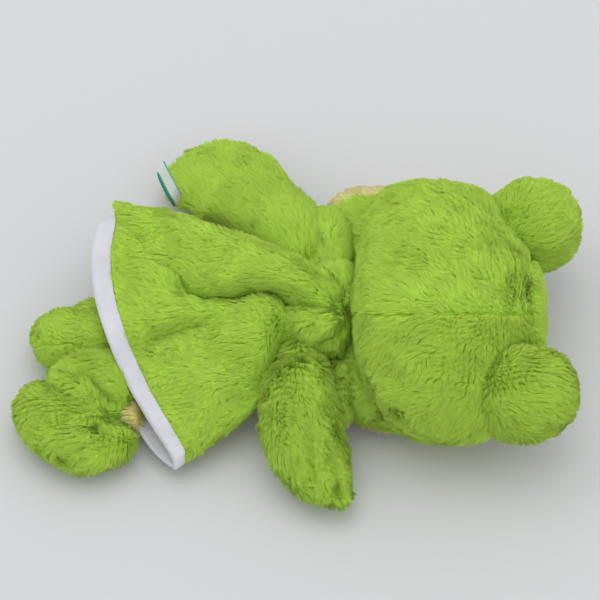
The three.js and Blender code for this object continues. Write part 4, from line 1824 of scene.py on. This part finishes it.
@dataclass
class Eye:
    """A button eye on a stem, with a felt ring behind it and a washer pressed on the stem in the dome.

    It faces down, as the puppet lies on its face. The drawing's nodes give its place.

    Attributes:
        side: the puppet's side on which it is.
        dome: the dome that it is fixed in.
        bulge: the height of the button's rounded front in mm.
        rim: the height of its straight rim.
        stem: the stem's radius.
        chamfer: how far edges are cut off.
        felt: the felt's thickness.
        felt_slack: how much wider than the stem the felt's hole is, on each side.
        washer_slack: the same for the washer's.
    """

    side: Side
    dome: Pebble
    bulge: float = 3.5
    rim: float = 0.9
    stem: float = 2.5
    chamfer: float = 0.4
    felt: float = 1.2
    felt_slack: float = 0.3
    washer_slack: float = 0.05

    def placed(self, kind: str) -> tuple[Points, float, float, float]:
        """The middle, radius, lowest and highest point of one of its nodes, in drawing mm."""
        low, high = node_box(f"{kind}_{self.side.value}")
        return (low + high) / 2, float(high[0] - low[0]) / 2, float(low[2]), float(high[2])

    def button(self) -> None:
        """The glossy button with its stem."""
        centre, radius, low, high = self.placed("eye")
        steps = np.linspace(0, math.pi / 2, 10)
        dome = [(radius * math.sin(a), low + self.bulge * (1 - math.cos(a))) for a in steps]
        back = low + self.bulge + self.rim
        shoulder = [(radius - self.chamfer, back), (self.stem, back)]
        tip = [(self.stem, high - 1), (self.stem - 1, high), (0, high)]
        outline = [*dome, *shoulder, *tip]
        eye = spun(f"eye_button_{self.side.value}", outline, centre, EYE_PLASTIC.material())
        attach(eye, "head")
        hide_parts(f"eye_{self.side.value}")

    def ring(
        self, kind: str, name: str, bore: float, heights: tuple[float, float], material: bpy.types.Material
    ) -> bpy.types.Object:
        """A flat ring with cut edges, as wide as one of the drawing's nodes and at its centre.

        Args:
            kind: the start of the node's name.
            name: the start of the piece's name.
            bore: its hole's radius in mm.
            heights: its lowest and highest point.
            material: its finish.

        Returns:
            The new object.
        """
        centre, radius, _, _ = self.placed(kind)
        low, high = heights
        cut = min(self.chamfer, (high - low) / 3)
        outer = [(radius - cut, low), (radius, low + cut), (radius, high - cut), (radius - cut, high)]
        outline = [(bore, low), *outer, (bore, high), (bore, low)]
        ring = spun(f"{name}_{self.side.value}", outline, centre, material)
        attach(ring, "head")
        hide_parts(f"{kind}_{self.side.value}")
        return ring

    def cupped(self, ring: bpy.types.Object, back: float) -> None:
        """Bends a flat ring to the dome's underside, with its middle on the button's back.

        Args:
            ring: the ring, which starts at height 0.
            back: the height of the button's back.
        """
        rows = np.empty(len(ring.data.vertices) * 3)
        ring.data.vertices.foreach_get("co", rows)
        spots = rows.reshape(-1, 3) / MM - drawing_offset()
        centre = self.placed("eye")[0]

        def underside(places: Points) -> Points:
            """The height of the dome's underside.

            Args:
                places: rows of x, y, z.

            Returns:
                One height a place.
            """
            away = np.abs((places[:, :2] - self.dome.centre[:2]) / self.dome.half[:2]) ** self.dome.power
            deep = np.maximum(1 - away.sum(axis=1), 0.02) ** (1 / self.dome.power)
            return self.dome.centre[2] - deep * self.dome.half[2]

        spots[:, 2] += back + underside(spots) - underside(centre[None, :])
        ring.data.vertices.foreach_set("co", ((spots + drawing_offset()) * MM).ravel())

    def build(self) -> None:
        """Makes the button, the felt and the washer."""
        self.button()
        _, _, low, high = self.placed("eye_washer")
        bore = self.stem + self.washer_slack
        self.ring("eye_washer", "stem_washer", bore, (low, high), WASHER_PLASTIC.material())
        hole = self.stem + self.felt_slack
        felt = self.ring("eye_felt", "felt_ring", hole, (0, self.felt), FELT.material())
        self.cupped(felt, self.placed("eye")[2] + self.bulge + self.rim)
        radius = self.placed("eye_felt")[1]


@dataclass
class BellyTuck:
    """A tuck of the yellow belly panel that is pushed out under the near hem."""

    form: Pebble = Pebble((-87, -60, 10), (8, 11, 10), 2.2)

    def build(self) -> None:
        """Makes the tuck and its pile."""
        skin = self.form.skin(2.5, 32, 20)
        body = stuffed("belly_tuck", skin, YELLOW, 0.2)
        pile = grow_pile("belly_tuck_pile", skin, YELLOW, toward(-1, -0.3), 47)
        for piece in (body, pile):
            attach(piece, "sleeve")


@dataclass
class Studio:
    """The pale floor, the soft light and the camera at the photograph's angle.

    Attributes:
        aim: the drawing point that the camera looks at.
        elevation: the camera's angle above the floor, in degrees.
        distance: how far off it is, in mm.
        lens: its focal length in mm.
        floor: the floor's colour.
        room_level: how bright the room's even light is.
        lamp_power: the large lamp's power in watts.
        lamp_place: where it hangs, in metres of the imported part.
    """

    aim: tuple[float, float, float] = (0, 0, 30)
    elevation: float = 55
    distance: float = 2190
    lens: float = 250
    floor: str = "#d5d7d8"
    room_level: float = 0.9
    lamp_power: float = 2.7
    lamp_place: tuple[float, float, float] = (-0.1, 0.1, 1.2)

    def camera(self) -> None:
        """Puts the camera above the near side."""
        camera = bpy.data.objects.new("camera", bpy.data.cameras.new("camera"))
        bpy.context.scene.collection.objects.link(camera)
        camera.data.lens = self.lens
        angle = math.radians(self.elevation)
        aim = Vector(in_frame(self.aim))
        back = Vector((0, -math.cos(angle), math.sin(angle)))
        camera.location = aim + back * self.distance * MM
        camera.rotation_euler = (-back).to_track_quat("-Z", "Y").to_euler()
        bpy.context.scene.camera = camera

    def light(self) -> None:
        """A bright even room with one large lamp high up on the far side."""
        scene = bpy.context.scene
        scene.view_settings.view_transform = "Standard"
        world = bpy.data.worlds.new("room")
        scene.world = world
        world.use_nodes = True
        world.node_tree.nodes["Background"].inputs[0].default_value = linear("#fffdff")
        world.node_tree.nodes["Background"].inputs[1].default_value = self.room_level
        lamp = bpy.data.objects.new("softbox", bpy.data.lights.new("softbox", "AREA"))
        lamp.data.energy = self.lamp_power
        lamp.data.size = 1.0
        lamp.location = self.lamp_place
        lamp.rotation_euler = (-lamp.location).to_track_quat("-Z", "Y").to_euler()
        scene.collection.objects.link(lamp)

    def ground(self) -> None:
        """A paper floor."""
        bpy.ops.object.select_all(action="DESELECT")
        bpy.ops.mesh.primitive_plane_add(size=6)
        floor = bpy.context.object
        floor.name = "paper_floor"
        nodes = NodeTree("pale_paper")
        nodes.feed(nodes.shader.inputs["Base Color"], linear(self.floor))
        nodes.set(Roughness=0.9, Specular_IOR_Level=0.2)
        floor.data.materials.append(nodes.material)


def main() -> None:
    """Builds the puppet and its studio."""
    logging.basicConfig(level=logging.INFO)
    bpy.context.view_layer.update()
    for side, dome in DOMES.items():
        Eye(side, dome).build()
        EyeDome(side, dome).build()
    for pocket in (
        FingerPocket("head_pocket", "head", 0, 1),
        FingerPocket("arm_left_pocket", "arm_left", 1, 1, 6, 4),
        FingerPocket("arm_right_pocket", "arm_right", 1, -1, 14, 6),
    ):
        pocket.build()
    NeckBand().build()
    Label().build()
    BellyTuck().build()
    Head().build()
    Sleeve().build()
    Shoulders().build()
    for limb in LIMBS:
        limb.build()
    studio = Studio()
    studio.ground()
    studio.light()
    studio.camera()


if __name__ == "__main__":
    main()
